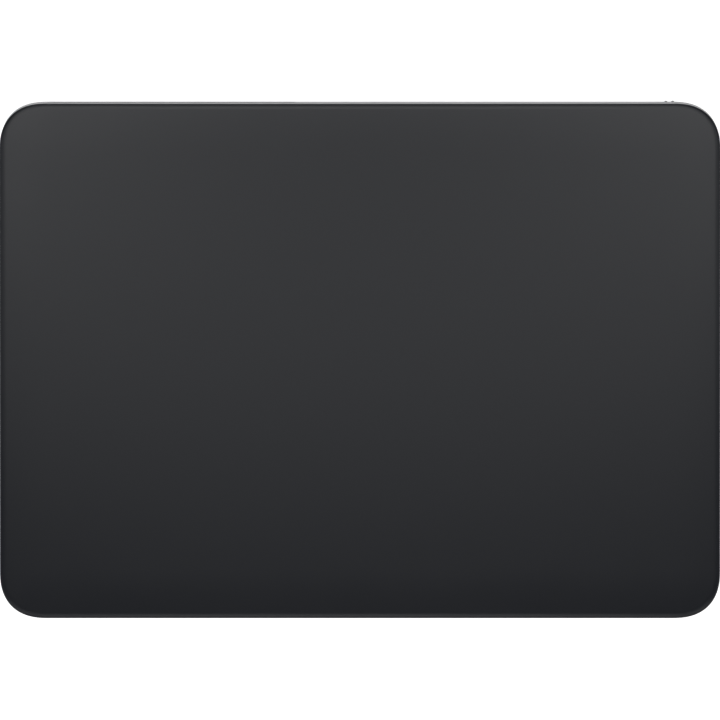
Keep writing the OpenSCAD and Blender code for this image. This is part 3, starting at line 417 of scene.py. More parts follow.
# Antenna window: a plug of radio clear polycarbonate, moulded in a dark grey. It fills its opening flush with
# the rear wall, and its flange is glued to the wall's inside.
window_gap, window_edge, window_root = 0.05, 0.02, 0.25
collar_half, collar_high, collar_t = 25.9, 2.5, 0.5
mid, half, high = openings["window"][:3]
# The guard is a loop just inside the broken edge, which keeps the shading of the face flat
cuts = window_gap + window_edge * np.array([0, 1, 3])
plug, face, guard = [stadium(half - cut, high - cut) + [mid, 0] for cut in cuts]
inner_y = half_l - wall_t
rings = [lay(p[:, 0], outer_rear(p[:, 0]) - sunk, p[:, 1] - rear_line)
         for p, sunk in ((guard, 0), (face, 0), (plug, window_edge))]
rings += [lay(plug[:, 0], inner_y - window_root, plug[:, 1] - rear_line)]
flange = rectangle(collar_half / 2, collar_half, collar_high) + [mid, 0]
collar = [lay(flange[:, 0], inner_y - back, flange[:, 1] - rear_line) for back in (0, collar_t)]
window = shape("antenna_window_plug", [
    weave(rings), fill(rings[0]), fill(rings[-1]), weave(collar), fill(collar[0]), fill(collar[-1]),
])

# The mould is spark eroded to about the metal's satin: pits of 0.05 mm, drawn at 0.3 mm so that they show
tree, shader, place = finish("moulded_grey_polycarbonate", {"IOR": 1.585, "Specular IOR Level": 0.25})
pits = add(tree, "TexNoise", {"Scale": 1000 / 0.3, "Detail": 2.0, "Roughness": 0.6}, {"Vector": place})
tone = add(tree, "Mix", {"data_type": "RGBA", 6: ink("#47484a"), 7: ink("#505153")}, {0: pits.outputs["Fac"]})
satin = add(tree, "MapRange", {"To Min": 0.56, "To Max": 0.68}, {"Value": pits.outputs["Fac"]})
dents = add(tree, "Bump", {"Strength": 0.2, "Distance": 0.00003}, {"Height": pits.outputs["Fac"]})
tree.links.new(tone.outputs[2], shader.inputs["Base Color"])
tree.links.new(satin.outputs[0], shader.inputs["Roughness"])
tree.links.new(dents.outputs[0], shader.inputs["Normal"])
window.data.materials.append(bpy.data.materials["moulded_grey_polycarbonate"])
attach(window, "case")
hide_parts("antenna_window")

# Behind the window: a moulded carrier, its copper foil and a thin coaxial lead to the main board
dress("moulded_black_polymer", "antenna_carrier")

# Rolled copper foil, warm and a little uneven where fingers and heat have darkened it
tree, shader, place = finish("rolled_copper_foil", {"Metallic": 1.0})
stain = add(tree, "TexNoise", {"Scale": 1000 / 2.5, "Detail": 4.0}, {"Vector": place})
tone = add(tree, "Mix", {"data_type": "RGBA", 6: ink("#b06f47"), 7: ink("#cf8f62")},
           {0: stain.outputs["Fac"]})
gloss = add(tree, "MapRange", {"To Min": 0.2, "To Max": 0.4}, {"Value": stain.outputs["Fac"]})
tree.links.new(tone.outputs[2], shader.inputs["Base Color"])
tree.links.new(gloss.outputs[0], shader.inputs["Roughness"])
dress("rolled_copper_foil", "antenna_foil")

# Extruded black jacket of the lead: smooth, with faint rings from the extruder 0.7 mm apart. Blender's waves
# repeat every pi/10 of the scaled length.
tree, shader, place = finish("extruded_black_jacket", {"Base Color": ink("#17181a"), "IOR": 1.38})
bands = add(tree, "TexWave", {"bands_direction": "X", "Scale": np.pi / 10 * 1000 / 0.7}, {"Vector": place})
gloss = add(tree, "MapRange", {"To Min": 0.3, "To Max": 0.42}, {"Value": bands.outputs["Fac"]})
tree.links.new(gloss.outputs[0], shader.inputs["Roughness"])
dress("extruded_black_jacket", "antenna_cable")


# Power switch: a small anodised knob with a nail scoop between two ridges slides in the slot. Its flange
# hides the slot from inside, and a fork behind it moves the lever of a slide switch on its own small board.
knob_x, knob_half, knob_high, knob_out, knob_scoop = 68.7, 1.1, 0.9, 0.35, 0.5
flange_y, flange_t, flange_half, flange_high = 55.2, 0.7, 3.5, 1.6
fork_y, fork_l, fork_t, fork_mid, fork_high = 54.1, 1.1, 0.6, 0.8, 0.5
crest, edge_round, scoop_from, scoop_to = 0.72, 0.2, 0.27, 0.88


def knob_top(points, inside):
    """How far back the knob reaches: its ridges stand out from the rear wall, a raised cosine dips between
    their crests, and a quarter circle rounds the edge, inside being the distance from it."""
    dip = 0.5 + 0.5 * np.cos(np.pi * (abs(points[:, 0]) / crest).clip(0, 1))
    drop = edge_round - np.sqrt(edge_round ** 2 - (edge_round - inside).clip(0, edge_round) ** 2)
    return half_l + knob_out - knob_scoop * dip - drop


def plate(half, high, near, far, mid):
    """A rectangular block on the rear line, between two distances up the plate's slope."""
    edge = rectangle(half / 2, half, high) + [mid, 0]
    ends = [lay(edge[:, 0], y, edge[:, 1] - rear_line) for y in (near, far)]
    return [weave(ends), fill(ends[0]), fill(ends[1])]


rounded = edge_round * (1 - np.cos(np.linspace(0, np.pi / 2, 7)))
inside = np.concatenate([rounded, np.linspace(scoop_from, scoop_to, 10)])
edges = [stadium(knob_half - d, knob_high - d) for d in inside]
rings = [lay(knob_x + edges[0][:, 0], flange_y + flange_t / 2, edges[0][:, 1] - rear_line)]
rings += [lay(knob_x + p[:, 0], knob_top(p, d), p[:, 1] - rear_line) for p, d in zip(edges, inside)]
patches = [weave(rings), fill(rings[0]), fill(rings[-1])]
patches += plate(flange_half, flange_high, flange_y, flange_y + flange_t, knob_x)
for side in (-1, 1):
    patches += plate(fork_t / 2, fork_high, fork_y, fork_y + fork_l, knob_x + side * fork_mid)
knob = shape("switch_slide_knob", patches)
knob.data.materials.append(blasted)
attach(knob, "power_switch")
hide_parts("switch_knob")
dress("moulded_black_polymer", "switch_lever")
dress("drawn_stainless_steel", "switch_housing")

# Boards: woven glass in epoxy under a green solder mask. The copper shows through as a paler maze of tracks
# 0.5 mm wide, and the mask has the soft gloss of a baked lacquer.
tree, shader, place = finish("solder_masked_glass_epoxy",
                             {"IOR": 1.55, "Coat Weight": 0.4, "Coat Roughness": 0.2})
maze = add(tree, "TexBrick", {"Scale": 1000 / 1.6, "Mortar Size": 0.16, "Mortar Smooth": 0.2,
                              "Brick Width": 1.4, "Row Height": 0.62, "Color1": ink("#17442c"),
                              "Color2": ink("#1d5034"), "Mortar": ink("#2f6f47")}, {"Vector": place})
weft = add(tree, "TexNoise", {"Scale": 1000 / 0.5, "Detail": 2.0}, {"Vector": place})
gloss = add(tree, "MapRange", {"To Min": 0.3, "To Max": 0.5}, {"Value": weft.outputs["Fac"]})
swell = add(tree, "Bump", {"Strength": 0.3, "Distance": 0.00003}, {"Height": maze.outputs["Fac"]})
tree.links.new(maze.outputs["Color"], shader.inputs["Base Color"])
tree.links.new(gloss.outputs[0], shader.inputs["Roughness"])
tree.links.new(swell.outputs[0], shader.inputs["Normal"])
dress("solder_masked_glass_epoxy", "switch_board")

# Ribbons: copper between two polyimide films. The film is clear amber, and the copper under it is a hatch of
# fine lines at 45 degrees, 0.8 mm apart, as on a screened ribbon.
tree, shader, place = finish("polyimide_film_over_copper", {"IOR": 1.7, "Roughness": 0.32,
                                                            "Coat Weight": 0.3, "Coat Roughness": 0.15})
hatch = []
for turn in (45, -45):
    slant = add(tree, "Mapping", {"Rotation": (0, 0, np.radians(turn))}, {"Vector": place})
    hatch += [add(tree, "TexWave", {"bands_direction": "X", "Scale": np.pi / 10 * 1000 / 0.8},
                  {"Vector": slant.outputs[0]})]
cross = add(tree, "Math", {"operation": "MAXIMUM"}, {0: hatch[0].outputs["Fac"], 1: hatch[1].outputs["Fac"]})
edge = add(tree, "MapRange", {"From Min": 0.72, "From Max": 0.88}, {"Value": cross.outputs[0]})
tone = add(tree, "Mix", {"data_type": "RGBA", 6: ink("#8a4d16"), 7: ink("#c07f35")}, {0: edge.outputs[0]})
ridge = add(tree, "Bump", {"Strength": 0.25, "Distance": 0.00002}, {"Height": edge.outputs[0]})
tree.links.new(tone.outputs[2], shader.inputs["Base Color"])
tree.links.new(ridge.outputs[0], shader.inputs["Normal"])
dress("polyimide_film_over_copper", "switch_ribbon")

# Screws: steel, nickel plated in a barrel, so bright with a fine tumble grain of about 0.25 mm
tree, shader, place = finish("nickel_plated_steel", {"Metallic": 1.0, "Base Color": ink("#bdb9b1")})
grain = add(tree, "TexNoise", {"Scale": 1000 / 0.25, "Detail": 2.0}, {"Vector": place})
gloss = add(tree, "MapRange", {"To Min": 0.18, "To Max": 0.34}, {"Value": grain.outputs["Fac"]})
tree.links.new(gloss.outputs[0], shader.inputs["Roughness"])
dress("nickel_plated_steel", "switch_screws")


# Main board: the larger glass epoxy board under the deck, with its chips, shield can and ribbon connectors.
# Three screws hold it, and the charge socket is soldered to it.
dress("solder_masked_glass_epoxy", "main_board")
dress("nickel_plated_steel", "board_screws")

# Chip packages: black epoxy from a matt mould, with a fine sandy grain of about 0.2 mm
tree, shader, place = finish("moulded_epoxy_package", {"IOR": 1.56})
sand = add(tree, "TexNoise", {"Scale": 1000 / 0.2, "Detail": 2.0, "Roughness": 0.7}, {"Vector": place})
tone = add(tree, "Mix", {"data_type": "RGBA", 6: ink("#1a1b1d"), 7: ink("#26272a")}, {0: sand.outputs["Fac"]})
dull = add(tree, "MapRange", {"To Min": 0.5, "To Max": 0.66}, {"Value": sand.outputs["Fac"]})
rough = add(tree, "Bump", {"Strength": 0.25, "Distance": 0.00002}, {"Height": sand.outputs["Fac"]})
tree.links.new(tone.outputs[2], shader.inputs["Base Color"])
tree.links.new(dull.outputs[0], shader.inputs["Roughness"])
tree.links.new(rough.outputs[0], shader.inputs["Normal"])
dress("moulded_epoxy_package", "microcontroller", "radio_chip", "charge_controller", "force_converter",
      "touch_controller")

# Shield can: tin plated sheet steel, with the crystal bloom of bright tin in flakes of about 1.2 mm
tree, shader, place = finish("tin_plated_sheet_steel", {"Metallic": 1.0})
flakes = add(tree, "TexVoronoi", {"Scale": 1000 / 1.2}, {"Vector": place})
tone = add(tree, "Mix", {"data_type": "RGBA", 6: ink("#aaabac"), 7: ink("#c3c4c4")},
           {0: flakes.outputs["Distance"]})
gloss = add(tree, "MapRange", {"To Min": 0.22, "To Max": 0.4}, {"Value": flakes.outputs["Distance"]})
tree.links.new(tone.outputs[2], shader.inputs["Base Color"])
tree.links.new(gloss.outputs[0], shader.inputs["Roughness"])
dress("tin_plated_sheet_steel", "shield_can")

# Connectors: ivory polymer with a slight sheen and flow marks of about 0.5 mm
tree, shader, place = finish("moulded_ivory_polymer", {"IOR": 1.6})
flow = add(tree, "TexNoise", {"Scale": 1000 / 0.5, "Detail": 3.0}, {"Vector": place})
tone = add(tree, "Mix", {"data_type": "RGBA", 6: ink("#d9d5c6"), 7: ink("#e6e3d8")}, {0: flow.outputs["Fac"]})
gloss = add(tree, "MapRange", {"To Min": 0.34, "To Max": 0.46}, {"Value": flow.outputs["Fac"]})
tree.links.new(tone.outputs[2], shader.inputs["Base Color"])
tree.links.new(gloss.outputs[0], shader.inputs["Roughness"])
dress("moulded_ivory_polymer", "ribbon_connectors")


# Battery: a flat pouch cell in aluminium laminate, taped to the deck, with its small protection board along
# the sealed terrace and a ribbon to the main board.
# The laminate lies over the stacked cell in shallow waves some 7 mm wide, with a pressed grain of 0.5 mm
tree, shader, place = finish("aluminium_laminate_pouch", {"Metallic": 0.85})
waves = add(tree, "TexNoise", {"Scale": 1000 / 7, "Detail": 2.0}, {"Vector": place})
press = add(tree, "TexNoise", {"Scale": 1000 / 0.5, "Detail": 1.0}, {"Vector": place})
tone = add(tree, "Mix", {"data_type": "RGBA", 6: ink("#a2a4a8"), 7: ink("#b9bbbe")},
           {0: waves.outputs["Fac"]})
gloss = add(tree, "MapRange", {"To Min": 0.3, "To Max": 0.45}, {"Value": press.outputs["Fac"]})
soft = add(tree, "Bump", {"Strength": 0.35, "Distance": 0.0003}, {"Height": waves.outputs["Fac"]})
fine = add(tree, "Bump", {"Strength": 0.2, "Distance": 0.00002},
           {"Height": press.outputs["Fac"], "Normal": soft.outputs[0]})
tree.links.new(tone.outputs[2], shader.inputs["Base Color"])
tree.links.new(gloss.outputs[0], shader.inputs["Roughness"])
tree.links.new(fine.outputs[0], shader.inputs["Normal"])
dress("aluminium_laminate_pouch", "battery_pouch")
dress("solder_masked_glass_epoxy", "battery_board")
dress("polyimide_film_over_copper", "battery_ribbon")

# Adhesive films: acrylic on a thin fleece, milky white, with fibres about 0.8 mm long showing in it
tree, shader, place = finish("acrylic_adhesive_film", {"IOR": 1.48})
fleece = add(tree, "TexNoise", {"Scale": 1000 / 0.8, "Detail": 5.0, "Roughness": 0.7}, {"Vector": place})
tone = add(tree, "Mix", {"data_type": "RGBA", 6: ink("#dcdcd6"), 7: ink("#ecece8")},
           {0: fleece.outputs["Fac"]})
tack = add(tree, "MapRange", {"To Min": 0.4, "To Max": 0.62}, {"Value": fleece.outputs["Fac"]})
tree.links.new(tone.outputs[2], shader.inputs["Base Color"])
tree.links.new(tack.outputs[0], shader.inputs["Roughness"])
dress("acrylic_adhesive_film", "battery_tapes")


# Haptic engine: a tungsten weight with four magnets slides between two flat coils in a steel tray, centred by
# two bowed leaf springs. Its jolt is the click that a finger feels.
# Rolling lines run along the sheet, about 0.25 mm apart
tree, shader, place = finish("deep_drawn_sheet_steel", {"Metallic": 1.0})
mill = add(tree, "Mapping", {"Scale": (1000 / 5, 1000 / 0.25, 1000 / 0.25)}, {"Vector": place})
lines = add(tree, "TexNoise", {"Scale": 1.0, "Detail": 3.0}, {"Vector": mill.outputs[0]})
tone = add(tree, "Mix", {"data_type": "RGBA", 6: ink("#a9abad"), 7: ink("#bcbec0")},
           {0: lines.outputs["Fac"]})
sheen = add(tree, "MapRange", {"To Min": 0.26, "To Max": 0.42}, {"Value": lines.outputs["Fac"]})
tree.links.new(tone.outputs[2], shader.inputs["Base Color"])
tree.links.new(sheen.outputs[0], shader.inputs["Roughness"])
dress("deep_drawn_sheet_steel", "haptic_tray", "haptic_lid")
dress("nickel_plated_steel", "haptic_screws")
dress("polyimide_film_over_copper", "haptic_ribbon")

# Sintered tungsten alloy: dark, with grains of about 0.15 mm
tree, shader, place = finish("sintered_tungsten_alloy", {"Metallic": 1.0})
grain = add(tree, "TexVoronoi", {"Scale": 1000 / 0.15}, {"Vector": place})
tone = add(tree, "Mix", {"data_type": "RGBA", 6: ink("#6d6e72"), 7: ink("#85868a")},
           {0: grain.outputs["Distance"]})
sheen = add(tree, "MapRange", {"To Min": 0.34, "To Max": 0.52}, {"Value": grain.outputs["Distance"]})
tree.links.new(tone.outputs[2], shader.inputs["Base Color"])
tree.links.new(sheen.outputs[0], shader.inputs["Roughness"])
dress("sintered_tungsten_alloy", "haptic_weight")

# Bright nickel over neodymium: almost a mirror, with faint waves from the plating about 2 mm wide
tree, shader, place = finish("bright_nickel_plating", {"Metallic": 1.0, "Base Color": ink("#c4c1b8")})
waves = add(tree, "TexNoise", {"Scale": 1000 / 2, "Detail": 2.0}, {"Vector": place})
gloss = add(tree, "MapRange", {"To Min": 0.08, "To Max": 0.2}, {"Value": waves.outputs["Fac"]})
tree.links.new(gloss.outputs[0], shader.inputs["Roughness"])
dress("bright_nickel_plating", "haptic_magnets")

# Enamelled copper wire of 0.12 mm, wound flat: its turns are drawn 0.3 mm apart so that they show
tree, shader, place = finish("enamelled_copper_winding", {"Metallic": 0.9, "Roughness": 0.3,
                                                          "Coat Weight": 0.5, "Coat Roughness": 0.12})
turns = add(tree, "TexWave", {"bands_direction": "X", "Scale": np.pi / 10 * 1000 / 0.3}, {"Vector": place})
# The wire's colour follows the turns: painted shade in the grooves between them and a painted highlight on
# their crests
tone = add(tree, "Mix", {"data_type": "RGBA", 6: ink("#8a4a22"), 7: ink("#c07a45")},
           {0: turns.outputs["Fac"]})
wires = add(tree, "Bump", {"Strength": 0.5, "Distance": 0.00006}, {"Height": turns.outputs["Fac"]})
tree.links.new(tone.outputs[2], shader.inputs["Base Color"])
tree.links.new(wires.outputs[0], shader.inputs["Normal"])
dress("enamelled_copper_winding", "haptic_coils")


# Leaf springs of the haptic engine: strips of hardened steel, bowed between two feet that are welded to the
# tray's end wall, with a pad on the crown that is welded to the weight. In the engine they bend as the weight
# slides, and here each keeps one fixed bow.
tray_inside, engine_y, spring_w = 21.7, -7.35, -3.6
spring_t, spring_half_h, foot_end, bend_r = 0.25, 0.35, 9.0, 0.6
bow_half, bow_rise = 7.5, 4.7
pad_near, pad_far, pad_half, pad_half_h = 4.75, 5.2, 1.5, 0.3


def bowed_strip():
    """Rows of four points round the strip, as distances from the wall and along it. Its middle line is a
    straight foot, a bend of radius bend_r and an arc about a point behind the wall, each touching the next,
    up to the crown, and the same mirrored. Its faces lie half its thickness to either side of that line."""
    bow_r = (bow_half ** 2 + bow_rise ** 2) / (2 * bow_rise) - spring_t / 2
    behind, bend_x = bow_rise + spring_t / 2 - bow_r, spring_t / 2 + bend_r
    bend_y = np.sqrt((bow_r + bend_r) ** 2 - (bend_x - behind) ** 2)
    meet = np.arctan2(bend_y, bend_x - behind)
    bend, bow = np.linspace(0, meet, 9), np.linspace(meet, 0, 25)[1:]
    turn = np.concatenate([[0], bend, bow])
    normal = np.stack([np.cos(turn), np.sin(turn)], -1)
    middle = np.concatenate([[[spring_t / 2, foot_end]], [bend_x, bend_y] - bend_r * normal[1:len(bend) + 1],
                             [behind, 0] + bow_r * normal[len(bend) + 1:]])
    near, far = middle - spring_t / 2 * normal, middle + spring_t / 2 * normal
    half = np.stack([near, far, far, near], 1)
    return np.concatenate([half, half[-2::-1] * [1, -1]])


# Hardened strip: rolled to a grey shine, blued by heat in patches about 3 mm wide
tree, shader, place = finish("hardened_spring_strip", {"Metallic": 1.0})
heat = add(tree, "TexNoise", {"Scale": 1000 / 3, "Detail": 2.0}, {"Vector": place})
tone = add(tree, "Mix", {"data_type": "RGBA", 6: ink("#9499a3"), 7: ink("#aeb0b4")}, {0: heat.outputs["Fac"]})
sheen = add(tree, "MapRange", {"To Min": 0.18, "To Max": 0.32}, {"Value": heat.outputs["Fac"]})
tree.links.new(tone.outputs[2], shader.inputs["Base Color"])
tree.links.new(sheen.outputs[0], shader.inputs["Roughness"])
strip = bowed_strip()
pad = square * [(pad_far - pad_near) / 2, pad_half] + [(pad_far + pad_near) / 2, 0]
for name, side in (("left", -1), ("right", 1)):
    rows = lay(side * (tray_inside - strip[..., 0]), engine_y + strip[..., 1],
               spring_w + spring_half_h * np.array([-1, -1, 1, 1]))
    patches = [weave(rows), fill(rows[0]), fill(rows[-1])]
    pad_x = side * (tray_inside - pad[:, 0])
    ends = [lay(pad_x, engine_y + pad[:, 1], spring_w + h) for h in (-pad_half_h, pad_half_h)]
    patches += [weave(ends), fill(ends[0]), fill(ends[1])]
    leaf = shape("bowed_leaf_spring_" + name, patches)
    leaf.data.materials.append(bpy.data.materials["hardened_spring_strip"])
    at_wall = lay(side * (tray_inside - spring_t), engine_y, spring_w) / 1000
    at_crown = lay(side * (tray_inside - bow_rise), engine_y, spring_w) / 1000
    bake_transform(leaf)
    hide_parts("haptic_spring_" + name)


# Force sensing: each foot hangs from the middle of a flat spring steel beam, which bends a few hundredths of
# a millimetre under a finger. Strain gauges on the beams feel that, and ribbons carry it to the main board.
dress("hardened_spring_strip", "beam_front_left", "beam_front_right", "beam_rear_left", "beam_rear_right")
dress("nickel_plated_steel", "beam_screws", "foot_posts")
dress("polyimide_film_over_copper", "strain_gauges", "force_ribbon_left", "force_ribbon_right")


# Touch sensor: a thin board under the glass with a lattice of copper diamonds, 4.5 mm apart, under black
# mask. Its controller hangs in a window of the deck, and a ribbon runs from it to the main board.
tree, shader, place = finish("black_masked_touch_board", {"IOR": 1.55, "Roughness": 0.4,
                                                          "Coat Weight": 0.3, "Coat Roughness": 0.25})
slant = add(tree, "Mapping", {"Rotation": (0, 0, np.radians(45))}, {"Vector": place})
lattice = add(tree, "TexBrick", {"offset": 0.0, "Scale": 1000 / 4.5, "Mortar Size": 0.04, "Brick Width": 1.0,
                                 "Row Height": 1.0, "Color1": ink("#23262a"), "Color2": ink("#2a2d31"),
                                 "Mortar": ink("#14161a")}, {"Vector": slant.outputs[0]})
swell = add(tree, "Bump", {"Strength": 0.3, "Distance": 0.00003, "invert": True},
            {"Height": lattice.outputs["Fac"]})
tree.links.new(lattice.outputs["Color"], shader.inputs["Base Color"])
tree.links.new(swell.outputs[0], shader.inputs["Normal"])
dress("black_masked_touch_board", "sensor_board")
dress("polyimide_film_over_copper", "sensor_ribbon")
dress("acrylic_adhesive_film", "glass_adhesive")


# Touch glass: a sheet 1 mm thick that fills the whole top, etched until it is matt, with black ceramic ink
# fired on its back, where it is glued all over. Its outer 10 mm fall off very slightly and end in a soft
# ground edge.
glass_inset, glass_t, glass_chamfer, edge_run, edge_drop = 0.08, 1.0, 0.15, 1.4, 0.3
crown_run, crown_drop = 10.5, 0.2
glass_share = np.linspace(0, np.pi / 2, 65)


def glass_loop(inset):
    """The glass's outline, moved inwards: four superellipse corners joined by straight sides."""
    corner = soft_corner(glass_share, inset)
    return loop(corner, corner[:0], corner)


def crown(inset):
    """How far the top face has fallen at a distance from its edge: a parabola from crown_run inside it."""
    return -crown_drop * (1 - inset / crown_run) ** 2


turn = np.linspace(0, np.pi / 2, 25)
inset = glass_inset + edge_run * (1 - np.cos(turn))
section = np.concatenate([
    [[glass_inset + glass_chamfer, -glass_t], [glass_inset, glass_chamfer - glass_t]],
    np.stack([inset, edge_drop * (np.sin(turn) - 1) + crown(inset)], -1),
])
rings = [lay(*glass_loop(d).T, w) for d, w in section]
# Further in, the loops' corners shrink to the centres of the outline's corners, so that no two loops cross
rim, centre = glass_loop(0), np.array([half_w - reach, half_l - reach])
flat = np.sign(rim) * (centre + (1 - crown_run / reach) * (abs(rim) - centre))
for t in np.linspace(0, 1, 25)[1:]:
    loop_in = (1 - t) * glass_loop(inset[-1]) + t * flat
    rings += [lay(*loop_in.T, crown(inset[-1] + t * (crown_run - inset[-1])))]
glass = shape("etched_touch_glass", [weave(rings), fill(rings[0]), fill(rings[-1])])

# The acid etch leaves cells of some 0.02 mm, far below a pixel, so they count as roughness alone. What shows
# is their slight unevenness, in clouds of about 9 mm.
tree, shader, place = finish("etched_black_backed_glass", {"IOR": 1.52, "Base Color": ink("#181b22")})
etch = add(tree, "TexNoise", {"Scale": 1000 / 9, "Detail": 3.0, "Roughness": 0.6}, {"Vector": place})
matt = add(tree, "MapRange", {"To Min": 0.28, "To Max": 0.32}, {"Value": etch.outputs["Fac"]})
tree.links.new(matt.outputs[0], shader.inputs["Roughness"])
glass.data.materials.append(bpy.data.materials["etched_black_backed_glass"])
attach(glass, "case")
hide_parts("touch_glass")


# Bottom cover: a moulded plate that is taped into the recess of the body's lower edge, with a round hole for
# each foot. Its edges are broken by a small chamfer.
cover_inset, cover_top, cover_chamfer, foot_hole_r = 1.0, 1.6, 0.15, 4.85
foot_at = [(x, y) for x in (-foot_x, foot_x) for y in foot_rows]
turn = np.linspace(0, 2 * np.pi, 65)[:-1]
circle = np.stack([np.cos(turn), np.sin(turn), 0 * turn], -1)
section = [(cover_chamfer, desk_gap), (0, desk_gap + cover_chamfer), (0, cover_top)]
edge = [pocket_loop(cover_inset + cut) for cut, z in section]
rings = [lay(*p.T, level(p[:, 1], z)) for p, (cut, z) in zip(edge, section)]
holes = [[np.array([x, y, z]) + (foot_hole_r + cut) * circle for cut, z in section] for x, y in foot_at]
patches = [weave(rings), fill(rings[0], *[h[0] for h in holes]), fill(rings[-1], *[h[-1] for h in holes])]
cover = shape("moulded_bottom_cover", patches + [weave(h) for h in holes])

# A spark eroded mould gives the cover an even leather of pits, 0.1 mm wide, drawn at 0.35 mm so as to show
tree, shader, place = finish("spark_textured_polycarbonate", {"IOR": 1.585})
pits = add(tree, "TexNoise", {"Scale": 1000 / 0.35, "Detail": 2.0, "Roughness": 0.6}, {"Vector": place})
cloud = add(tree, "TexNoise", {"Scale": 1000 / 20, "Detail": 1.0}, {"Vector": place})
tone = add(tree, "Mix", {"data_type": "RGBA", 6: ink("#b6b7b9"), 7: ink("#bebfc1")},
           {0: cloud.outputs["Fac"]})
satin = add(tree, "MapRange", {"To Min": 0.46, "To Max": 0.6}, {"Value": pits.outputs["Fac"]})
dents = add(tree, "Bump", {"Strength": 0.3, "Distance": 0.00004}, {"Height": pits.outputs["Fac"]})
tree.links.new(tone.outputs[2], shader.inputs["Base Color"])
tree.links.new(satin.outputs[0], shader.inputs["Roughness"])
tree.links.new(dents.outputs[0], shader.inputs["Normal"])
cover.data.materials.append(bpy.data.materials["spark_textured_polycarbonate"])
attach(cover, "case")
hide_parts("bottom_cover")
dress("acrylic_adhesive_film", "cover_tape")


# Feet: four discs of grey silicone, bonded to the posts that hang from the beams. Each is flat below, with a
# rounded edge and a shallow moulded groove inside it.
foot_r, foot_t, foot_round, groove_r, groove_half, groove_deep = 4.5, 0.9, 0.3, 3.6, 0.18, 0.108
section = [(foot_r, foot_t)]
section += [(foot_r - foot_round * (1 - np.cos(t)), foot_round * (1 - np.sin(t))) for t in quarter]
section += [(groove_r + groove_half * np.cos(t), groove_deep * np.sin(t)) for t in 2 * quarter]
foot_nodes = ["foot_front_left", "foot_rear_left", "foot_front_right", "foot_rear_right"]
for name, (x, y) in zip(foot_nodes, foot_at):
    foot = shape("rubber_" + name, turned(section, [x, y, 0], upright))
    foot.data.materials.append(bpy.data.materials["moulded_silicone_rubber"])
    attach(foot, "case")
    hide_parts(name)


# Studio: a plain white table that glows all round the part, as a lit white sweep does, and plain soft boxes
# over and round it. Under the part the table is unlit, and from below it is clear, so that the underside can
# be seen. It stays out of reflections, where its glow would show in the metal. Sizes here are in metres.
sweep_half, unlit_half, glow_run = 15.0, (0.0755, 0.0525), 0.002
mesh = bpy.data.meshes.new("white_table")
mesh.from_pydata([(sweep_half * x, sweep_half * y, 0) for x, y in -square], [], [(0, 1, 2, 3)])
table = bpy.data.objects.new("white_table", mesh)
bpy.context.scene.collection.objects.link(table)
tree, shader, place = finish("white_sweep", {"Base Color": (0.8, 0.8, 0.8, 1), "Roughness": 0.9,
                                             "Specular IOR Level": 0.0, "Emission Color": ink("#ffffff")})
apart = add(tree, "SeparateXYZ", {}, {0: place})
past = []
for axis, half in enumerate(unlit_half):
    size = add(tree, "Math", {"operation": "ABSOLUTE"}, {0: apart.outputs[axis]})
    past += [add(tree, "Math", {"operation": "SUBTRACT", 1: half}, {0: size.outputs[0]})]
out = add(tree, "Math", {"operation": "MAXIMUM"}, {0: past[0].outputs[0], 1: past[1].outputs[0]})
glow = add(tree, "MapRange", {"From Min": 0.0, "From Max": glow_run, "To Max": 0.95},
           {"Value": out.outputs[0]})
tree.links.new(glow.outputs[0], shader.inputs["Emission Strength"])
side = add(tree, "NewGeometry", {}, {})
front = add(tree, "Math", {"operation": "SUBTRACT", 0: 1.0}, {1: side.outputs["Backfacing"]})
tree.links.new(front.outputs[0], shader.inputs["Alpha"])
mesh.materials.append(bpy.data.materials["white_sweep"])
table.visible_glossy = False

# The room's pale walls fade to a dark ceiling
world = bpy.data.worlds.new("pale_walled_studio")
world.use_nodes = True
tree = world.node_tree
bearing = add(tree, "TexCoord", {}, {})
apart = add(tree, "SeparateXYZ", {}, {0: bearing.outputs["Generated"]})
rise = add(tree, "MapRange", {"From Min": -0.5, "From Max": 0.0, "To Min": 0.52, "To Max": 0.8},
           {"Value": apart.outputs["Z"]})
fall = add(tree, "MapRange", {"From Min": 0.0, "From Max": 0.6, "To Min": 1.0, "To Max": 0.0},
           {"Value": apart.outputs["Z"]})
both = add(tree, "Math", {"operation": "MULTIPLY"}, {0: rise.outputs[0], 1: fall.outputs[0]})
tree.nodes["Background"].inputs["Color"].default_value = (1, 1, 1, 1)
tree.links.new(both.outputs[0], tree.nodes["Background"].inputs["Strength"])
bpy.context.scene.world = world
bpy.context.scene.view_settings.view_transform = "Standard"


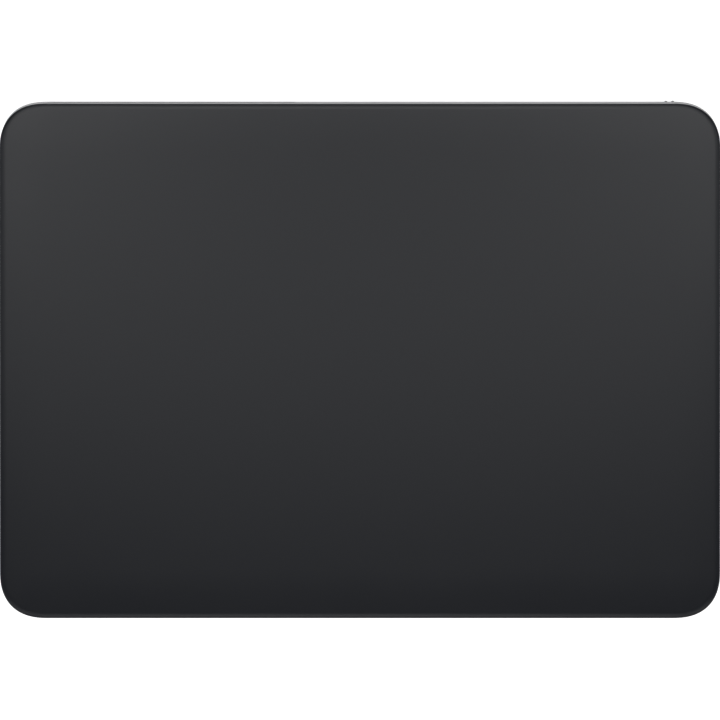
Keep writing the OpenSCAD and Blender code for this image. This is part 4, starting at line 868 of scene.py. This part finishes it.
def soft_box(name, middle, wide, glow):
    """A square soft box that faces the part. Its face has the radiance glow, so its power is glow times its
    area times pi."""
    lamp = bpy.data.lights.new(name, "AREA")
    lamp.size, lamp.energy = wide, glow * wide**2 * np.pi
    box = bpy.data.objects.new(name, lamp)
    box.location = middle
    box.rotation_euler = Vector(middle).to_track_quat("Z", "Y").to_euler()
    box.visible_camera = False
    bpy.context.scene.collection.objects.link(box)


# The strengths come from a least squares fit, in a scratch script, of the render's shading to the photo's.
# The rows hang level over the part, and the other boxes stand round it.
row_z, row_wide, box_wide, front_wide = 0.394, 0.07, 0.14, 0.28
for side in (-1, 1):
    soft_box("front_row_box", (0.035 * side, -0.245, row_z), row_wide, 1.46)
    soft_box("front_row_box", (0.175 * side, -0.245, row_z), row_wide, 2.3)
    soft_box("middle_row_box", (0.035 * side, -0.035, row_z), row_wide, 1.07)
    soft_box("middle_row_box", (0.105 * side, -0.035, row_z), row_wide, 0.78)
    soft_box("overhead_box", (0.035 * side, 0.035, row_z), row_wide, 0.34)
    soft_box("overhead_box", (0.105 * side, 0.035, row_z), row_wide, 2.68)
    soft_box("rear_row_box", (0.035 * side, 0.105, row_z), row_wide, 1.84)
    soft_box("rear_corner_box", (0.1385 * side, 0.097, 0.3625), box_wide, 0.27)
    soft_box("rear_corner_box", (0.097 * side, 0.1385, 0.3625), box_wide, 1.1)
    soft_box("front_corner_box", (0.2779 * side, -0.1946, 0.212), box_wide, 0.67)
    soft_box("front_corner_box", (0.1946 * side, -0.2779, 0.212), box_wide, 0.63)
    soft_box("side_box", (0.215 * side, 0.025, 0.336), box_wide, 0.57)
    soft_box("side_low_box", (0.283 * side, 0, 0.283), box_wide, 0.25)
soft_box("rear_middle_box", (0, 0.3064, 0.257), box_wide, 1.67)
soft_box("rear_low_box", (0, 0.394, 0.0695), box_wide, 1.19)
soft_box("front_box", (0, -0.535, 0.594), front_wide, 0.83)

# The photo looks straight down with no perspective to speak of, so a long lens looks from far above
lens = bpy.data.cameras.new("overhead_lens")
lens.lens, lens.sensor_width, lens.clip_end = 1000.0, 36.0, 20.0
camera = bpy.data.objects.new("overhead_lens", lens)
camera.location = (0, -0.00003, 4.446)
bpy.context.scene.collection.objects.link(camera)
bpy.context.scene.camera = camera
